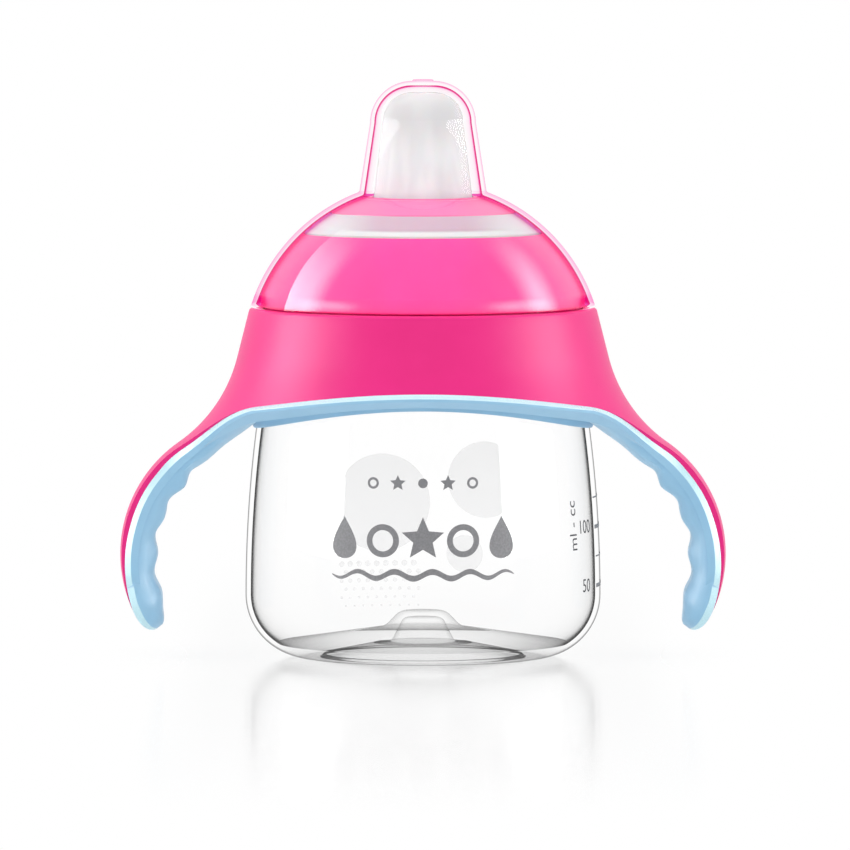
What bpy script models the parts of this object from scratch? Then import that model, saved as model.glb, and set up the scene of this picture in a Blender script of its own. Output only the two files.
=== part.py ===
"""Sippy cup with handles: clear cup, two-handled ring with a soft liner, screw ring, spout with valve, cap.

Metres, +Z up. The origin is on the cup's axis at the table, and the handles lie along X.
"""

import math

import bmesh
import bpy

# Fits
CLEARANCE = 0.0003       # gap between pieces that touch or slide

# Cup
FOOT_RADIUS = 0.0241     # outer edge of the flat ring that the cup stands on
FOOT_WIDTH = 0.0025
HEEL_RADIUS = 0.0132     # rounding from foot to side wall
SIDE_RADIUS = 0.273      # gentle bow of the side wall
CUP_WALL = 0.0011
FLOOR_WALL = 0.0014
FLOOR_RISE = 0.0050      # the floor's cone, from the foot to the dimple
DIMPLE_RADIUS = 0.0080
DIMPLE_TAPER = 0.0038
DIMPLE_HEIGHT = 0.0033
SHOULDER_Z = 0.0575      # the handle ring sits at this height
SHOULDER_ROUND = 0.0015
NECK_STEP = 0.0031       # step in from the wall to the neck
NECK_WALL = 0.0015
NECK_HEIGHT = 0.0185
RIM_ROUND = 0.0004

# Screw ring
THREAD_ROOM = 0.0009     # left between neck and skirt for the thread
SKIRT_WALL = 0.0012
SKIRT_DEPTH = 0.0136     # below the ring's land
LAND_OVERHANG = 0.0010   # the land rests on the handle ring's lip
LAND_HEIGHT = 0.0026
CLAMP_LEDGE = 0.0018     # shoulder that presses the flange on the rim
LAND_DROP = 0.0024       # bottom of the land below the cup's rim
DOME_DROP = 0.01408      # centre of the lid's sphere below the top of the land
DOME_WALL = 0.0017
RING_SPAN = 0.00775      # width of the domed part, seen from above

# Spout, collar and valve
FLANGE_THICKNESS = 0.0015
FLANGE_INSET = 0.0011    # flange inside the cup's bore
SPOUT_WALL = 0.0016
BAND_SPAN = 0.00675      # width of the milky band between ring and collar
COLLAR_THICKNESS = 0.0012
SPOUT_FOOT_RADIUS = 0.01045
SPOUT_RISE = 0.01965     # tip above the top of the lid's sphere
TIP_RADIUS = 0.0084      # half width of the tip
TIP_ROUND = 0.0060
TIP_DISH = 0.0004
TIP_OVAL = 0.72          # depth of the tip over its width
OVAL_FROM = 0.6          # share of the nozzle over which it turns oval
NOZZLE_WALL = 0.0013
HOLE_RADIUS = 0.0008
HOLE_PITCH = 0.0026
HOLE_COUNT = 3
SOCKET_RADIUS = 0.0084   # bore for the valve's plug
SOCKET_WALL = 0.0015
SOCKET_DEPTH = 0.0098
VALVE_WALL = 0.0013
VALVE_FLANGE = 0.0029    # how far the valve's flange stands out from its plug
VALVE_FLANGE_THICKNESS = 0.0015
PLUG_SHORT = 0.0018      # plug's end below the top of its socket
WEB_THICKNESS = 0.0014
PULL_DEPTH = 0.0027      # skirt to pull the valve out by
STEM_RADIUS = 0.0011
BARB_REACH = 0.0008
BARB_HEIGHT = 0.0014
DISC_THICKNESS = 0.0006
DISC_CROWN = 0.0008
PORT_RADIUS = 0.0011
PORT_COUNT = 6

# Cap
CAP_WALL = 0.0009
CAP_HEADROOM = 0.0015    # over the spout's tip
NOZZLE_ROOM = 0.0020     # round the spout's foot
CAP_ROUND = 0.0088       # rounding of the cap's top
CAP_TOP_RADIUS = 0.0111
GATE_RADIUS = 0.0021     # moulding mark on top
GATE_HEIGHT = 0.0003

# Handle ring and arms
RING_PROUD = 0.0002      # ring's top edge outside the cap's rim
CONE_ANGLE = math.radians(14.2)
FLARE_RADIUS = 0.0313    # hollow sweep from ring to arm
BOW_RADIUS = 0.02837     # outward bow of the arm
BOW_Z = 0.0217
HANDLE_REACH = 0.06363   # axis to the outermost point of an arm
FRAME_WALL = 0.0017
LIP_THICKNESS = 0.0016
EDGE_DROP = 0.0053       # lower edge at the arms below its front
ROOT_SPREAD = 0.0215     # rounded corner between ring and arm, along the ring
ROOT_DROP = 0.0120       # the same, down the arm
ROOT_HALF_WIDTH = 0.0065 # between the two corners, at the ring's lower edge
ARM_HALF_WIDTH = 0.0080
ARM_NARROWING = 0.0120   # length over which the arm narrows
ARM_PLATE = 0.0009       # rigid outer layer of the arm
PLATE_TIP = 0.0004
PLATE_END_Z = 0.0098
PLATE_FADE = 0.0120      # length over which that layer thins out

# Soft liner
TRIM_HEIGHT = 0.0019
TRIM_PROUD = 0.0008
TRIM_BEVEL = 0.0014      # height of the trim's sloped face
SEAT_DEPTH = 0.0039      # lip that hugs the cup, below the ring's lower edge
SEAT_WALL = 0.0009
PAD_DEPTH = 0.0073       # pad and plate together
PAD_TAPER = 0.0012       # thinner at the tip
PAD_NECK = 0.0010        # thinner just past the root
ROOT_SWELL = 0.0026
BUMP_HEIGHT = 0.00045
BUMP_PITCH = 0.01075
FIRST_BUMP = 0.0388      # along the arm's outline from the ring's top edge
PAD_PROUD = 0.0008       # pad's side beyond the plate's edge
PAD_BEVEL = 0.0011
PAD_SIDE = 0.0028        # height of the pad's side, bevel included
PAD_SLOPE = 0.0036       # width of the slanted face from side to finger face
PAD_LAP = 0.0014         # edge band laps this far under the plate
TIP_Z = 0.0045
TIP_LENGTH = 0.0050      # the pad thins over this length to its rounded end
TIP_BLUNT = 0.30         # share of its section left at the very end
PLATE_BLUNT = 0.25       # the same for the rigid layer's width

# Facets
LARGE_STEPS = 36
SMALL_STEPS = 24
TINY_STEPS = 20
HOLE_STEPS = 10
ARM_ROWS = 9
END_ROWS = 4
PAD_ROWS = 20
TIP_ROWS = 5
SIDE_COLUMNS = 5
SEAT_COLUMNS = 18
RING_SHARES = (0.0, 0.26, 0.46, 0.64, 0.82, 1.0)          # rows down a column of the ring
CORNER_SHARES = (0.034, 0.18, 0.38, 0.66, 1.0)            # columns over the rounded corner from arm to ring
ARM_SHARES = (-1.0, -0.5, 0.0, 0.5, 1.0)                  # columns across an arm
SLANT_SHARES = (0.0, 0.45, 1.0)                           # points over a pad's slanted face

# Sizes that follow from those above
belly_radius = FOOT_RADIUS + HEEL_RADIUS


def cup_radius(z):
    """Outer radius of the cup's side wall at height z."""
    rise = z - HEEL_RADIUS
    return belly_radius - SIDE_RADIUS + math.sqrt(SIDE_RADIUS**2 - rise**2)


neck_radius = cup_radius(SHOULDER_Z) - NECK_STEP
bore_radius = neck_radius - NECK_WALL
rim_z = SHOULDER_Z + NECK_HEIGHT
skirt_inner = neck_radius + THREAD_ROOM + CLEARANCE
skirt_outer = skirt_inner + SKIRT_WALL
land_radius = skirt_outer + LAND_OVERHANG
land_z = rim_z - LAND_DROP
land_top = land_z + LAND_HEIGHT
dome_z = land_top - DOME_DROP
dome_radius = math.hypot(land_radius, DOME_DROP)
opening_radius = land_radius - RING_SPAN
collar_radius = opening_radius - BAND_SPAN
clamp_radius = skirt_inner - CLAMP_LEDGE
flange_z = rim_z + CLEARANCE
clamp_z = flange_z + FLANGE_THICKNESS + CLEARANCE
seat_dome = dome_radius - COLLAR_THICKNESS - CLEARANCE
spout_top = dome_z + dome_radius + SPOUT_RISE
foot_z = dome_z + math.sqrt(seat_dome**2 - SPOUT_FOOT_RADIUS**2)
socket_top = foot_z - NOZZLE_WALL
socket_z = socket_top - SOCKET_DEPTH
plug_radius = SOCKET_RADIUS - CLEARANCE
valve_flange_top = socket_z - CLEARANCE
web_z = valve_flange_top - VALVE_FLANGE_THICKNESS
cap_inner_radius = dome_radius + CLEARANCE
cap_radius = cap_inner_radius + CAP_WALL
cap_top = spout_top + CAP_HEADROOM + CAP_WALL
cap_rim_radius = math.sqrt(cap_radius**2 - (land_z - dome_z) ** 2)
cap_foot_radius = SPOUT_FOOT_RADIUS + NOZZLE_ROOM + CAP_WALL
frame_top = land_z - CLEARANCE
frame_top_radius = cap_rim_radius + RING_PROUD


def dome_height(radius, distance):
    """Height of the sphere of this radius, round the lid's centre, at this distance from the axis."""
    return dome_z + math.sqrt(radius**2 - distance**2)


def arc(centre, radius, start, end, count):
    """Points of an arc in the (distance, height) plane, from angle start to end in radians."""
    angles = [start + (end - start) * i / (count - 1) for i in range(count)]
    return [(centre[0] + radius * math.cos(a), centre[1] + radius * math.sin(a)) for a in angles]


def dome_arc(radius, first, last, count):
    """Points on a sphere round the lid's centre, from one distance off the axis to another."""
    start, end = math.acos(first / radius), math.acos(last / radius)
    return arc((0.0, dome_z), radius, start, end, count)


def smooth_step(x):
    x = min(max(x, 0.0), 1.0)
    return x * x * (3 - 2 * x)


def new_object(name, bm, material):
    """Turn a bmesh into a smooth-shaded object with its faces pointing out."""
    bmesh.ops.recalc_face_normals(bm, faces=bm.faces)
    mesh = bpy.data.meshes.new(name)
    bm.to_mesh(mesh)
    bm.free()
    mesh.shade_smooth()
    mesh.set_sharp_from_angle(angle=math.radians(35))
    mesh.materials.append(material)
    obj = bpy.data.objects.new(name, mesh)
    bpy.context.scene.collection.objects.link(obj)
    return obj


def turned_mesh(outline, closed, steps):
    """Spin an outline of (distance, height) points once round the Z axis."""
    bm = bmesh.new()
    points = [bm.verts.new((r, 0.0, z)) for r, z in outline]
    pairs = list(zip(points, points[1:]))
    if closed:
        pairs.append((points[-1], points[0]))
    edges = [bm.edges.new(pair) for pair in pairs]
    bmesh.ops.spin(
        bm, geom=points + edges, cent=(0, 0, 0), axis=(0, 0, 1), angle=2 * math.pi, steps=steps, use_merge=True
    )
    bmesh.ops.remove_doubles(bm, verts=bm.verts, dist=1e-6)
    return bm


def boolean(obj, other, operation):
    """Join or cut with another object, which then stays as a hidden helper."""
    modifier = obj.modifiers.new(operation.title(), "BOOLEAN")
    modifier.operation = operation
    modifier.solver = "EXACT"
    modifier.object = other
    other.hide_render = True
    other.display_type = "WIRE"


def drill(obj, name, centres, radius, bottom, top, steps):
    """Cut upright holes at the given (x, y) centres."""
    bm = bmesh.new()
    for x, y in centres:
        made = bmesh.ops.create_cone(
            bm, cap_ends=True, segments=steps, radius1=radius, radius2=radius, depth=top - bottom
        )
        bmesh.ops.translate(bm, verts=made["verts"], vec=(x, y, (top + bottom) / 2))
    boolean(obj, new_object(name, bm, obj.active_material), "DIFFERENCE")


def plastic(name, colour, roughness, transmission=0.0):
    material = bpy.data.materials.new(name)
    material.use_nodes = True
    shader = material.node_tree.nodes["Principled BSDF"]
    shader.inputs["Base Color"].default_value = (*colour, 1.0)
    shader.inputs["Roughness"].default_value = roughness
    shader.inputs["Metallic"].default_value = 0.0
    shader.inputs["Transmission Weight"].default_value = transmission
    return material


def make_cup(material):
    heel = (FOOT_RADIUS, HEEL_RADIUS)
    foot_inner = FOOT_RADIUS - FOOT_WIDTH
    dimple_top = DIMPLE_RADIUS - DIMPLE_TAPER
    under_inset = FLOOR_WALL / 2
    side = [HEEL_RADIUS + (SHOULDER_Z - SHOULDER_ROUND - HEEL_RADIUS) * i / 4 for i in range(5)]
    shoulder_radius = cup_radius(SHOULDER_Z - SHOULDER_ROUND)
    inner_top = SHOULDER_Z - SHOULDER_ROUND - FLOOR_WALL
    inner_side = [HEEL_RADIUS + (inner_top - HEEL_RADIUS) * i / 3 for i in range(4)]
    outline = [
        (0.0, FLOOR_RISE + DIMPLE_HEIGHT),
        (dimple_top - under_inset, FLOOR_RISE + DIMPLE_HEIGHT),
        (DIMPLE_RADIUS - under_inset, FLOOR_RISE),
        (foot_inner - under_inset, under_inset),
        (foot_inner, 0.0),
        *arc(heel, HEEL_RADIUS, -math.pi / 2, 0.0, 7)[:-1],
        *[(cup_radius(z), z) for z in side],
        *arc(
            (shoulder_radius - SHOULDER_ROUND, SHOULDER_Z - SHOULDER_ROUND),
            SHOULDER_ROUND, math.pi / 4, math.pi / 2, 2,
        ),
        (neck_radius, SHOULDER_Z),
        (neck_radius, rim_z - RIM_ROUND),
        (neck_radius - RIM_ROUND, rim_z),
        (bore_radius + RIM_ROUND, rim_z),
        (bore_radius, rim_z - RIM_ROUND),
        (bore_radius, SHOULDER_Z - FLOOR_WALL / 2),
        *[(cup_radius(z) - CUP_WALL, z) for z in reversed(inner_side)],
        *arc(heel, HEEL_RADIUS - CUP_WALL, 0.0, -math.pi / 2, 6)[1:],
        (DIMPLE_RADIUS, FLOOR_RISE + FLOOR_WALL),
        (dimple_top, FLOOR_RISE + FLOOR_WALL + DIMPLE_HEIGHT),
        (0.0, FLOOR_RISE + FLOOR_WALL + DIMPLE_HEIGHT),
    ]
    return new_object("cup_body", turned_mesh(outline, False, LARGE_STEPS), material)


def make_screw_ring(material):
    inner_dome = dome_radius - DOME_WALL
    outline = [
        *dome_arc(dome_radius, opening_radius, land_radius, 6),
        (land_radius, land_z),
        (skirt_outer, land_z),
        (skirt_outer, land_z - SKIRT_DEPTH),
        (skirt_inner, land_z - SKIRT_DEPTH),
        (skirt_inner, clamp_z),
        (clamp_radius, clamp_z),
        *dome_arc(inner_dome, clamp_radius, opening_radius, 4),
    ]
    return new_object("screw_ring", turned_mesh(outline, True, LARGE_STEPS), material)


def make_spout(material):
    under_ring = dome_radius - DOME_WALL - CLEARANCE
    inner_dome = under_ring - SPOUT_WALL
    band_edge = opening_radius - CLEARANCE
    shoulder = clamp_radius - CLEARANCE
    flange_bore = bore_radius - FLANGE_INSET
    socket_outer = SOCKET_RADIUS + SOCKET_WALL
    crown = (TIP_RADIUS - TIP_ROUND, spout_top - TIP_ROUND)
    outline = [
        (0.0, spout_top - TIP_DISH),
        *arc(crown, TIP_ROUND, math.pi / 2, 0.0, 6),
        *dome_arc(seat_dome, SPOUT_FOOT_RADIUS, collar_radius, 3),
        *dome_arc(dome_radius, collar_radius, band_edge, 4),
        *dome_arc(under_ring, band_edge, shoulder, 2),
        (shoulder, flange_z + FLANGE_THICKNESS),
        (skirt_inner - CLEARANCE, flange_z + FLANGE_THICKNESS),
        (skirt_inner - CLEARANCE, flange_z),
        (flange_bore, flange_z),
        *dome_arc(inner_dome, flange_bore, socket_outer, 4),
        (socket_outer, socket_z),
        (SOCKET_RADIUS, socket_z),
        (SOCKET_RADIUS, socket_top),
        (SPOUT_FOOT_RADIUS - NOZZLE_WALL, socket_top + NOZZLE_WALL),
        *arc(crown, TIP_ROUND - NOZZLE_WALL, 0.0, math.pi / 2, 4),
        (0.0, spout_top - TIP_DISH - NOZZLE_WALL),
    ]
    bm = turned_mesh(outline, False, SMALL_STEPS)
    for vert in bm.verts:
        above = (vert.co.z - foot_z) / (spout_top - foot_z)
        vert.co.y *= 1 - (1 - TIP_OVAL) * smooth_step(above / OVAL_FROM)
    spout = new_object("spout", bm, material)
    first = -HOLE_PITCH * (HOLE_COUNT - 1) / 2
    centres = [(first + HOLE_PITCH * i, 0.0) for i in range(HOLE_COUNT)]
    drill(spout, "spout_holes", centres, HOLE_RADIUS, crown[1], spout_top + TIP_ROUND, HOLE_STEPS)
    return spout


def make_collar(material):
    inner_dome = dome_radius - COLLAR_THICKNESS
    hole = SPOUT_FOOT_RADIUS + CLEARANCE
    edge = collar_radius - CLEARANCE
    outline = [*dome_arc(dome_radius, hole, edge, 4), *dome_arc(inner_dome, edge, hole, 3)]
    return new_object("spout_collar", turned_mesh(outline, True, SMALL_STEPS), material)


def make_valve_body(material):
    flange_radius = plug_radius + VALVE_FLANGE
    pull_radius = (plug_radius + flange_radius) / 2
    hub = STEM_RADIUS + CLEARANCE
    chamber = plug_radius - VALVE_WALL
    outline = [
        (plug_radius, socket_top - PLUG_SHORT),
        (plug_radius, valve_flange_top),
        (flange_radius, valve_flange_top),
        (flange_radius, web_z),
        (pull_radius, web_z),
        (pull_radius, web_z - PULL_DEPTH),
        (pull_radius - VALVE_WALL, web_z - PULL_DEPTH),
        (pull_radius - VALVE_WALL, web_z),
        (hub, web_z),
        (hub, web_z + WEB_THICKNESS),
        (chamber, web_z + WEB_THICKNESS),
        (chamber, socket_top - PLUG_SHORT),
    ]
    valve = new_object("valve_body", turned_mesh(outline, True, SMALL_STEPS), material)
    ring = (hub + chamber) / 2
    turns = [2 * math.pi * i / PORT_COUNT for i in range(PORT_COUNT)]
    centres = [(ring * math.cos(a), ring * math.sin(a)) for a in turns]
    bottom, top = web_z - WEB_THICKNESS, web_z + 2 * WEB_THICKNESS
    drill(valve, "valve_ports", centres, PORT_RADIUS, bottom, top, HOLE_STEPS)
    return valve


def make_diaphragm(material):
    disc_z = web_z + WEB_THICKNESS + CLEARANCE
    disc_radius = plug_radius - VALVE_WALL - CLEARANCE
    barb_z = web_z - CLEARANCE
    outline = [
        (0.0, disc_z + DISC_THICKNESS + DISC_CROWN),
        (disc_radius / 2, disc_z + DISC_THICKNESS + DISC_CROWN / 2),
        (disc_radius, disc_z + DISC_THICKNESS / 2),
        (disc_radius, disc_z),
        (STEM_RADIUS, disc_z),
        (STEM_RADIUS, barb_z),
        (STEM_RADIUS + BARB_REACH, barb_z),
        (STEM_RADIUS, barb_z - BARB_HEIGHT),
        (0.0, barb_z - BARB_HEIGHT),
    ]
    return new_object("valve_diaphragm", turned_mesh(outline, False, TINY_STEPS), material)


def make_cap(material):
    rim_bore = land_radius + CLEARANCE
    crown = (CAP_TOP_RADIUS - CAP_ROUND, cap_top - CAP_ROUND)
    outline = [
        (0.0, cap_top + GATE_HEIGHT),
        (GATE_RADIUS, cap_top + GATE_HEIGHT),
        (GATE_RADIUS, cap_top),
        *arc(crown, CAP_ROUND, math.pi / 2, 0.0, 7),
        *dome_arc(cap_radius, cap_foot_radius, cap_rim_radius, 9),
        (rim_bore, land_z),
        *dome_arc(cap_inner_radius, rim_bore, cap_foot_radius - CAP_WALL, 8),
        *arc(crown, CAP_ROUND - CAP_WALL, 0.0, math.pi / 2, 5),
        (0.0, cap_top - CAP_WALL),
    ]
    return new_object("hygiene_cap", turned_mesh(outline, False, LARGE_STEPS), material)


class Bell:
    """Outline of ring and arm in the (distance, height) plane: a straight cone, a hollow flare, then a bow."""

    def __init__(self):
        self.down = (math.sin(CONE_ANGLE), -math.cos(CONE_ANGLE))
        self.out = (math.cos(CONE_ANGLE), math.sin(CONE_ANGLE))
        self.bow = (HANDLE_REACH - BOW_RADIUS, BOW_Z)
        beside = (frame_top_radius + FLARE_RADIUS * self.out[0], frame_top + FLARE_RADIUS * self.out[1])
        offset = (beside[0] - self.bow[0], beside[1] - self.bow[1])
        along = offset[0] * self.down[0] + offset[1] * self.down[1]
        spare = offset[0] ** 2 + offset[1] ** 2 - (BOW_RADIUS + FLARE_RADIUS) ** 2
        self.cone_length = -along - math.sqrt(along**2 - spare)
        self.flare = tuple(b + self.cone_length * d for b, d in zip(beside, self.down))
        self.join = math.atan2(self.flare[1] - self.bow[1], self.flare[0] - self.bow[0])
        self.bow_start = self.cone_length + FLARE_RADIUS * (self.join - CONE_ANGLE)

    def point(self, s, depth=0.0):
        """(distance, height) at length s from the top edge, this far below the outer surface."""
        if s < self.cone_length:
            base = (frame_top_radius + s * self.down[0], frame_top + s * self.down[1])
            out = self.out
        elif s < self.bow_start:
            angle = CONE_ANGLE + (s - self.cone_length) / FLARE_RADIUS
            out = (math.cos(angle), math.sin(angle))
            base = tuple(f - FLARE_RADIUS * o for f, o in zip(self.flare, out))
        else:
            angle = self.join - (s - self.bow_start) / BOW_RADIUS
            out = (math.cos(angle), math.sin(angle))
            base = tuple(b + BOW_RADIUS * o for b, o in zip(self.bow, out))
        return base[0] - depth * out[0], base[1] - depth * out[1]

    def length_at(self, z):
        """Length from the top edge down to height z, by halving."""
        low, high = 0.0, self.bow_start + BOW_RADIUS * (self.join + math.pi / 2)
        for _ in range(40):
            middle = (low + high) / 2
            if self.point(middle)[1] > z:
                low = middle
            else:
                high = middle
        return (low + high) / 2

    def depth_to_cup(self, s):
        """Depth at which a normal from the outer surface comes within two clearances of the cup's wall."""
        depth = FRAME_WALL
        for _ in range(8):
            distance, z = self.point(s, depth)
            depth += distance - cup_radius(z) - 2 * CLEARANCE
        return depth


bell = Bell()


def saddle(angle):
    """Height of the ring's lower edge, at this angle from the arm, before the corner is rounded."""
    return SHOULDER_Z - EDGE_DROP * math.cos(angle) ** 2


root_radius = bell.point(bell.length_at(saddle(0.0)))[0]
root_angle = math.asin(ROOT_HALF_WIDTH / root_radius)
corner_angle = root_angle + ROOT_SPREAD / root_radius
corner_s = bell.length_at(saddle(corner_angle))
root_s = bell.length_at(saddle(root_angle) - ROOT_DROP)
bow_s = bell.length_at(BOW_Z)
plate_end = bell.length_at(PLATE_END_Z)
pad_start = bell.length_at(SHOULDER_Z - TRIM_HEIGHT)
pad_end = bell.length_at(TIP_Z)


def corner_left(angle):
    """Share of the rounded corner passed on the way to the arm: 0 on the ring and 1 at the arm's side."""
    return min(1.0, max(0.0, (corner_angle - abs(angle)) / (corner_angle - root_angle)))


def edge_z(angle):
    """Height of the rigid ring's lower edge, with its corner to the arm rounded."""
    left = corner_left(angle)
    return saddle(max(abs(angle), root_angle)) - ROOT_DROP * (1 - math.sqrt(1 - left**2))


def edge_s(angle):
    """Length down to that edge."""
    return bell.length_at(edge_z(angle))


def edge_angle(s):
    """Angle from the arm's middle to the edge of the rounded corner at length s, by halving."""
    low, high = root_angle, corner_angle
    for _ in range(30):
        middle = (low + high) / 2
        if edge_s(middle) > s:
            low = middle
        else:
            high = middle
    return (low + high) / 2


def half_width(s):
    """Half width of the arm's rigid layer."""
    if s < root_s:
        return bell.point(s)[0] * math.sin(edge_angle(s))
    root = bell.point(root_s)[0] * math.sin(root_angle)
    return root + (ARM_HALF_WIDTH - root) * smooth_step((s - root_s) / ARM_NARROWING)


def rounded_end(s, end, length, blunt):
    """Share of a section left at s, where it is drawn in over this length to a blunt round end."""
    late = min(1.0, max(0.0, (s - end + length) / length))
    return math.sqrt(1 - (1 - blunt**2) * late**2)


def plate_width(s):
    """Half width of the arm's rigid layer with its rounded end."""
    return half_width(s) * rounded_end(s, plate_end, ARM_HALF_WIDTH, PLATE_BLUNT)


def plate_depth(s):
    """Thickness of the rigid layer, thinner on the arm and thinning to its tip."""
    depth = FRAME_WALL + (ARM_PLATE - FRAME_WALL) * smooth_step((s - corner_s) / (root_s - corner_s))
    return depth + (PLATE_TIP - depth) * smooth_step((s - plate_end + PLATE_FADE) / PLATE_FADE)


def pad_depth(s):
    """Depth of the pad's finger side under the outer surface, with its bumps."""
    swell = ROOT_SWELL * smooth_step((FIRST_BUMP - BUMP_PITCH - s) / BUMP_PITCH)
    neck = PAD_NECK * smooth_step((FIRST_BUMP - s) / (BUMP_PITCH / 2))
    taper = PAD_TAPER * smooth_step((s - bow_s) / (pad_end - bow_s))
    bump = BUMP_HEIGHT * math.cos(2 * math.pi * (s - FIRST_BUMP) / BUMP_PITCH)
    bump *= smooth_step((s - FIRST_BUMP + BUMP_PITCH) / BUMP_PITCH)
    return min(PAD_DEPTH + swell - neck - taper + bump, bell.depth_to_cup(s))


def place(s, angle, depth=0.0):
    """Point in space at length s, this angle round the axis from +X, and this depth."""
    distance, z = bell.point(s, depth)
    return distance * math.cos(angle), distance * math.sin(angle), z


def place_across(s, across, depth=0.0):
    """The same, at a distance across the arm."""
    return place(s, math.asin(across / bell.point(s)[0]), depth)


def side_angles():
    """Angles of the ring's columns from an arm's side to the ring's side: close together at the corner."""
    corner = [root_angle + (corner_angle - root_angle) * share for share in CORNER_SHARES]
    rest = math.pi / 2 - corner_angle
    return corner + [corner_angle + rest * (i + 1) / SIDE_COLUMNS for i in range(SIDE_COLUMNS)]


def ring_angles():
    """Angles of all the ring's columns over the half with the +X arm."""
    arm = [math.asin(share * math.sin(root_angle)) for share in ARM_SHARES]
    return [-a for a in reversed(side_angles())] + arm + side_angles()


def arm_lengths():
    """Lengths of the arm's rows, close together at the rigid layer's rounded end."""
    last = plate_end - ARM_HALF_WIDTH
    rows = [root_s + (last - root_s) * (i + 1) / ARM_ROWS for i in range(ARM_ROWS)]
    turn = [math.pi / 2 * (i + 1) / END_ROWS for i in range(END_ROWS)]
    return rows + [last + ARM_HALF_WIDTH * math.sin(a) for a in turn]


def loft(bm, loops, closed):
    """Triangles between neighbouring loops of points."""
    made = [[bm.verts.new(point) for point in loop] for loop in loops]
    for one, two in zip(made, made[1:]):
        pairs = list(zip(one, two))
        if closed:
            pairs.append(pairs[0])
        for (a, b), (d, c) in zip(pairs, pairs[1:]):
            bm.faces.new((a, b, c))
            bm.faces.new((a, c, d))
    return made


def mirror(obj, across_y=False):
    """Complete a half, or a quarter, of a handle piece."""
    modifier = obj.modifiers.new("Mirror", "MIRROR")
    modifier.use_axis = (True, across_y, False)
    modifier.merge_threshold = 0.00001


def make_frame(material):
    """Rigid ring and arms: the ring's columns are loops from its lower edge over the top and back."""
    bm = bmesh.new()
    lip_radius = skirt_outer + CLEARANCE
    lip_z = frame_top - LIP_THICKNESS
    lip_s = (LIP_THICKNESS - FRAME_WALL * math.sin(CONE_ANGLE)) / math.cos(CONE_ANGLE)
    loops = []
    for angle in ring_angles():
        end = edge_s(angle)
        lip = [(lip_radius * math.cos(angle), lip_radius * math.sin(angle), z) for z in (frame_top, lip_z)]
        outer = [place(end * share, angle) for share in reversed(RING_SHARES)]
        lengths = [lip_s + (end - lip_s) * share for share in RING_SHARES]
        inner = [place(s, angle, plate_depth(s)) for s in lengths]
        loops.append(outer + lip + inner)
    made = loft(bm, loops, False)
    first_arm = len(made) // 2 - len(ARM_SHARES) // 2
    arm = made[first_arm:first_arm + len(ARM_SHARES)]
    for one, two in zip(made, made[1:]):
        if one not in arm or two not in arm:
            bm.faces.new((one[0], one[-1], two[-1], two[0]))
    belt = [column[0] for column in arm] + [column[-1] for column in reversed(arm)]
    for s in arm_lengths():
        width = plate_width(s)
        depths = [0.0] * len(ARM_SHARES) + [plate_depth(s)] * len(ARM_SHARES)
        shares = ARM_SHARES + ARM_SHARES[::-1]
        points = [place_across(s, share * width, depth) for share, depth in zip(shares, depths)]
        following = [bm.verts.new(point) for point in points]
        for i in range(len(belt)):
            j = (i + 1) % len(belt)
            bm.faces.new((belt[i], belt[j], following[j], following[i]))
        belt = following
    for i in range(len(ARM_SHARES) - 1):
        bm.faces.new((belt[i], belt[i + 1], belt[-2 - i], belt[-1 - i]))
    frame = new_object("handle_frame", bm, material)
    mirror(frame)
    return frame


def edge_path():
    """Edge of the rigid layer over a quarter, from the ring's side to the arm's tip.

    Each point is (length, angle, share), where the share is 0 on the ring and 1 on the arm.
    """
    path = []
    for angle in reversed(side_angles()):
        path.append((edge_s(angle), angle, smooth_step(corner_left(angle))))
    for s in [root_s, *arm_lengths()]:
        path.append((s, math.asin(plate_width(s) / bell.point(s)[0]), 1.0))
    path.append((plate_end, 0.0, 1.0))
    return path


def band_section(s, share):
    """Section of the edge band: (distance away from the rigid edge, depth) points."""
    top = plate_depth(s) + CLEARANCE
    corner = (CLEARANCE * (1 - share - share**4), top + CLEARANCE / 3 * share)
    ring = [
        (CLEARANCE, 0.0),
        (CLEARANCE + TRIM_BEVEL, -TRIM_PROUD),
        (CLEARANCE + TRIM_HEIGHT, -TRIM_PROUD / 2),
        (CLEARANCE + TRIM_HEIGHT, top + 2 * CLEARANCE),
        (CLEARANCE, top + 2 * CLEARANCE),
        corner,
    ]
    arm = [
        (0.0, top),
        (PAD_PROUD, top + PAD_BEVEL),
        (PAD_PROUD, top + PAD_SIDE),
        (-PAD_LAP, top + PAD_SIDE - 2 * CLEARANCE),
        (-PAD_LAP, top + CLEARANCE),
        corner,
    ]
    return [tuple(r + (a - r) * share for r, a in zip(*pair)) for pair in zip(ring, arm)]


def make_band(material):
    """Band along the whole edge of the rigid layer: the trim under the ring, the bevel down the arms."""
    path = edge_path()
    flat = [(bell.point(s)[0] * angle, s) for s, angle, _ in path]
    loops = []
    for i, (s, angle, share) in enumerate(path):
        before, after = flat[max(i - 1, 0)], flat[min(i + 1, len(flat) - 1)]
        run, fall = after[0] - before[0], after[1] - before[1]
        if i in (0, len(flat) - 1):
            run, fall = -1.0, 0.0
        length = math.hypot(run, fall)
        round_away, down_away = fall / length / bell.point(s)[0], -run / length
        section = band_section(s, share)
        loops.append([place(s + off * down_away, angle + off * round_away, depth) for off, depth in section])
    bm = bmesh.new()
    loft(bm, loops, True)
    band = new_object("grip_liner", bm, material)
    mirror(band, across_y=True)
    return band


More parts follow.
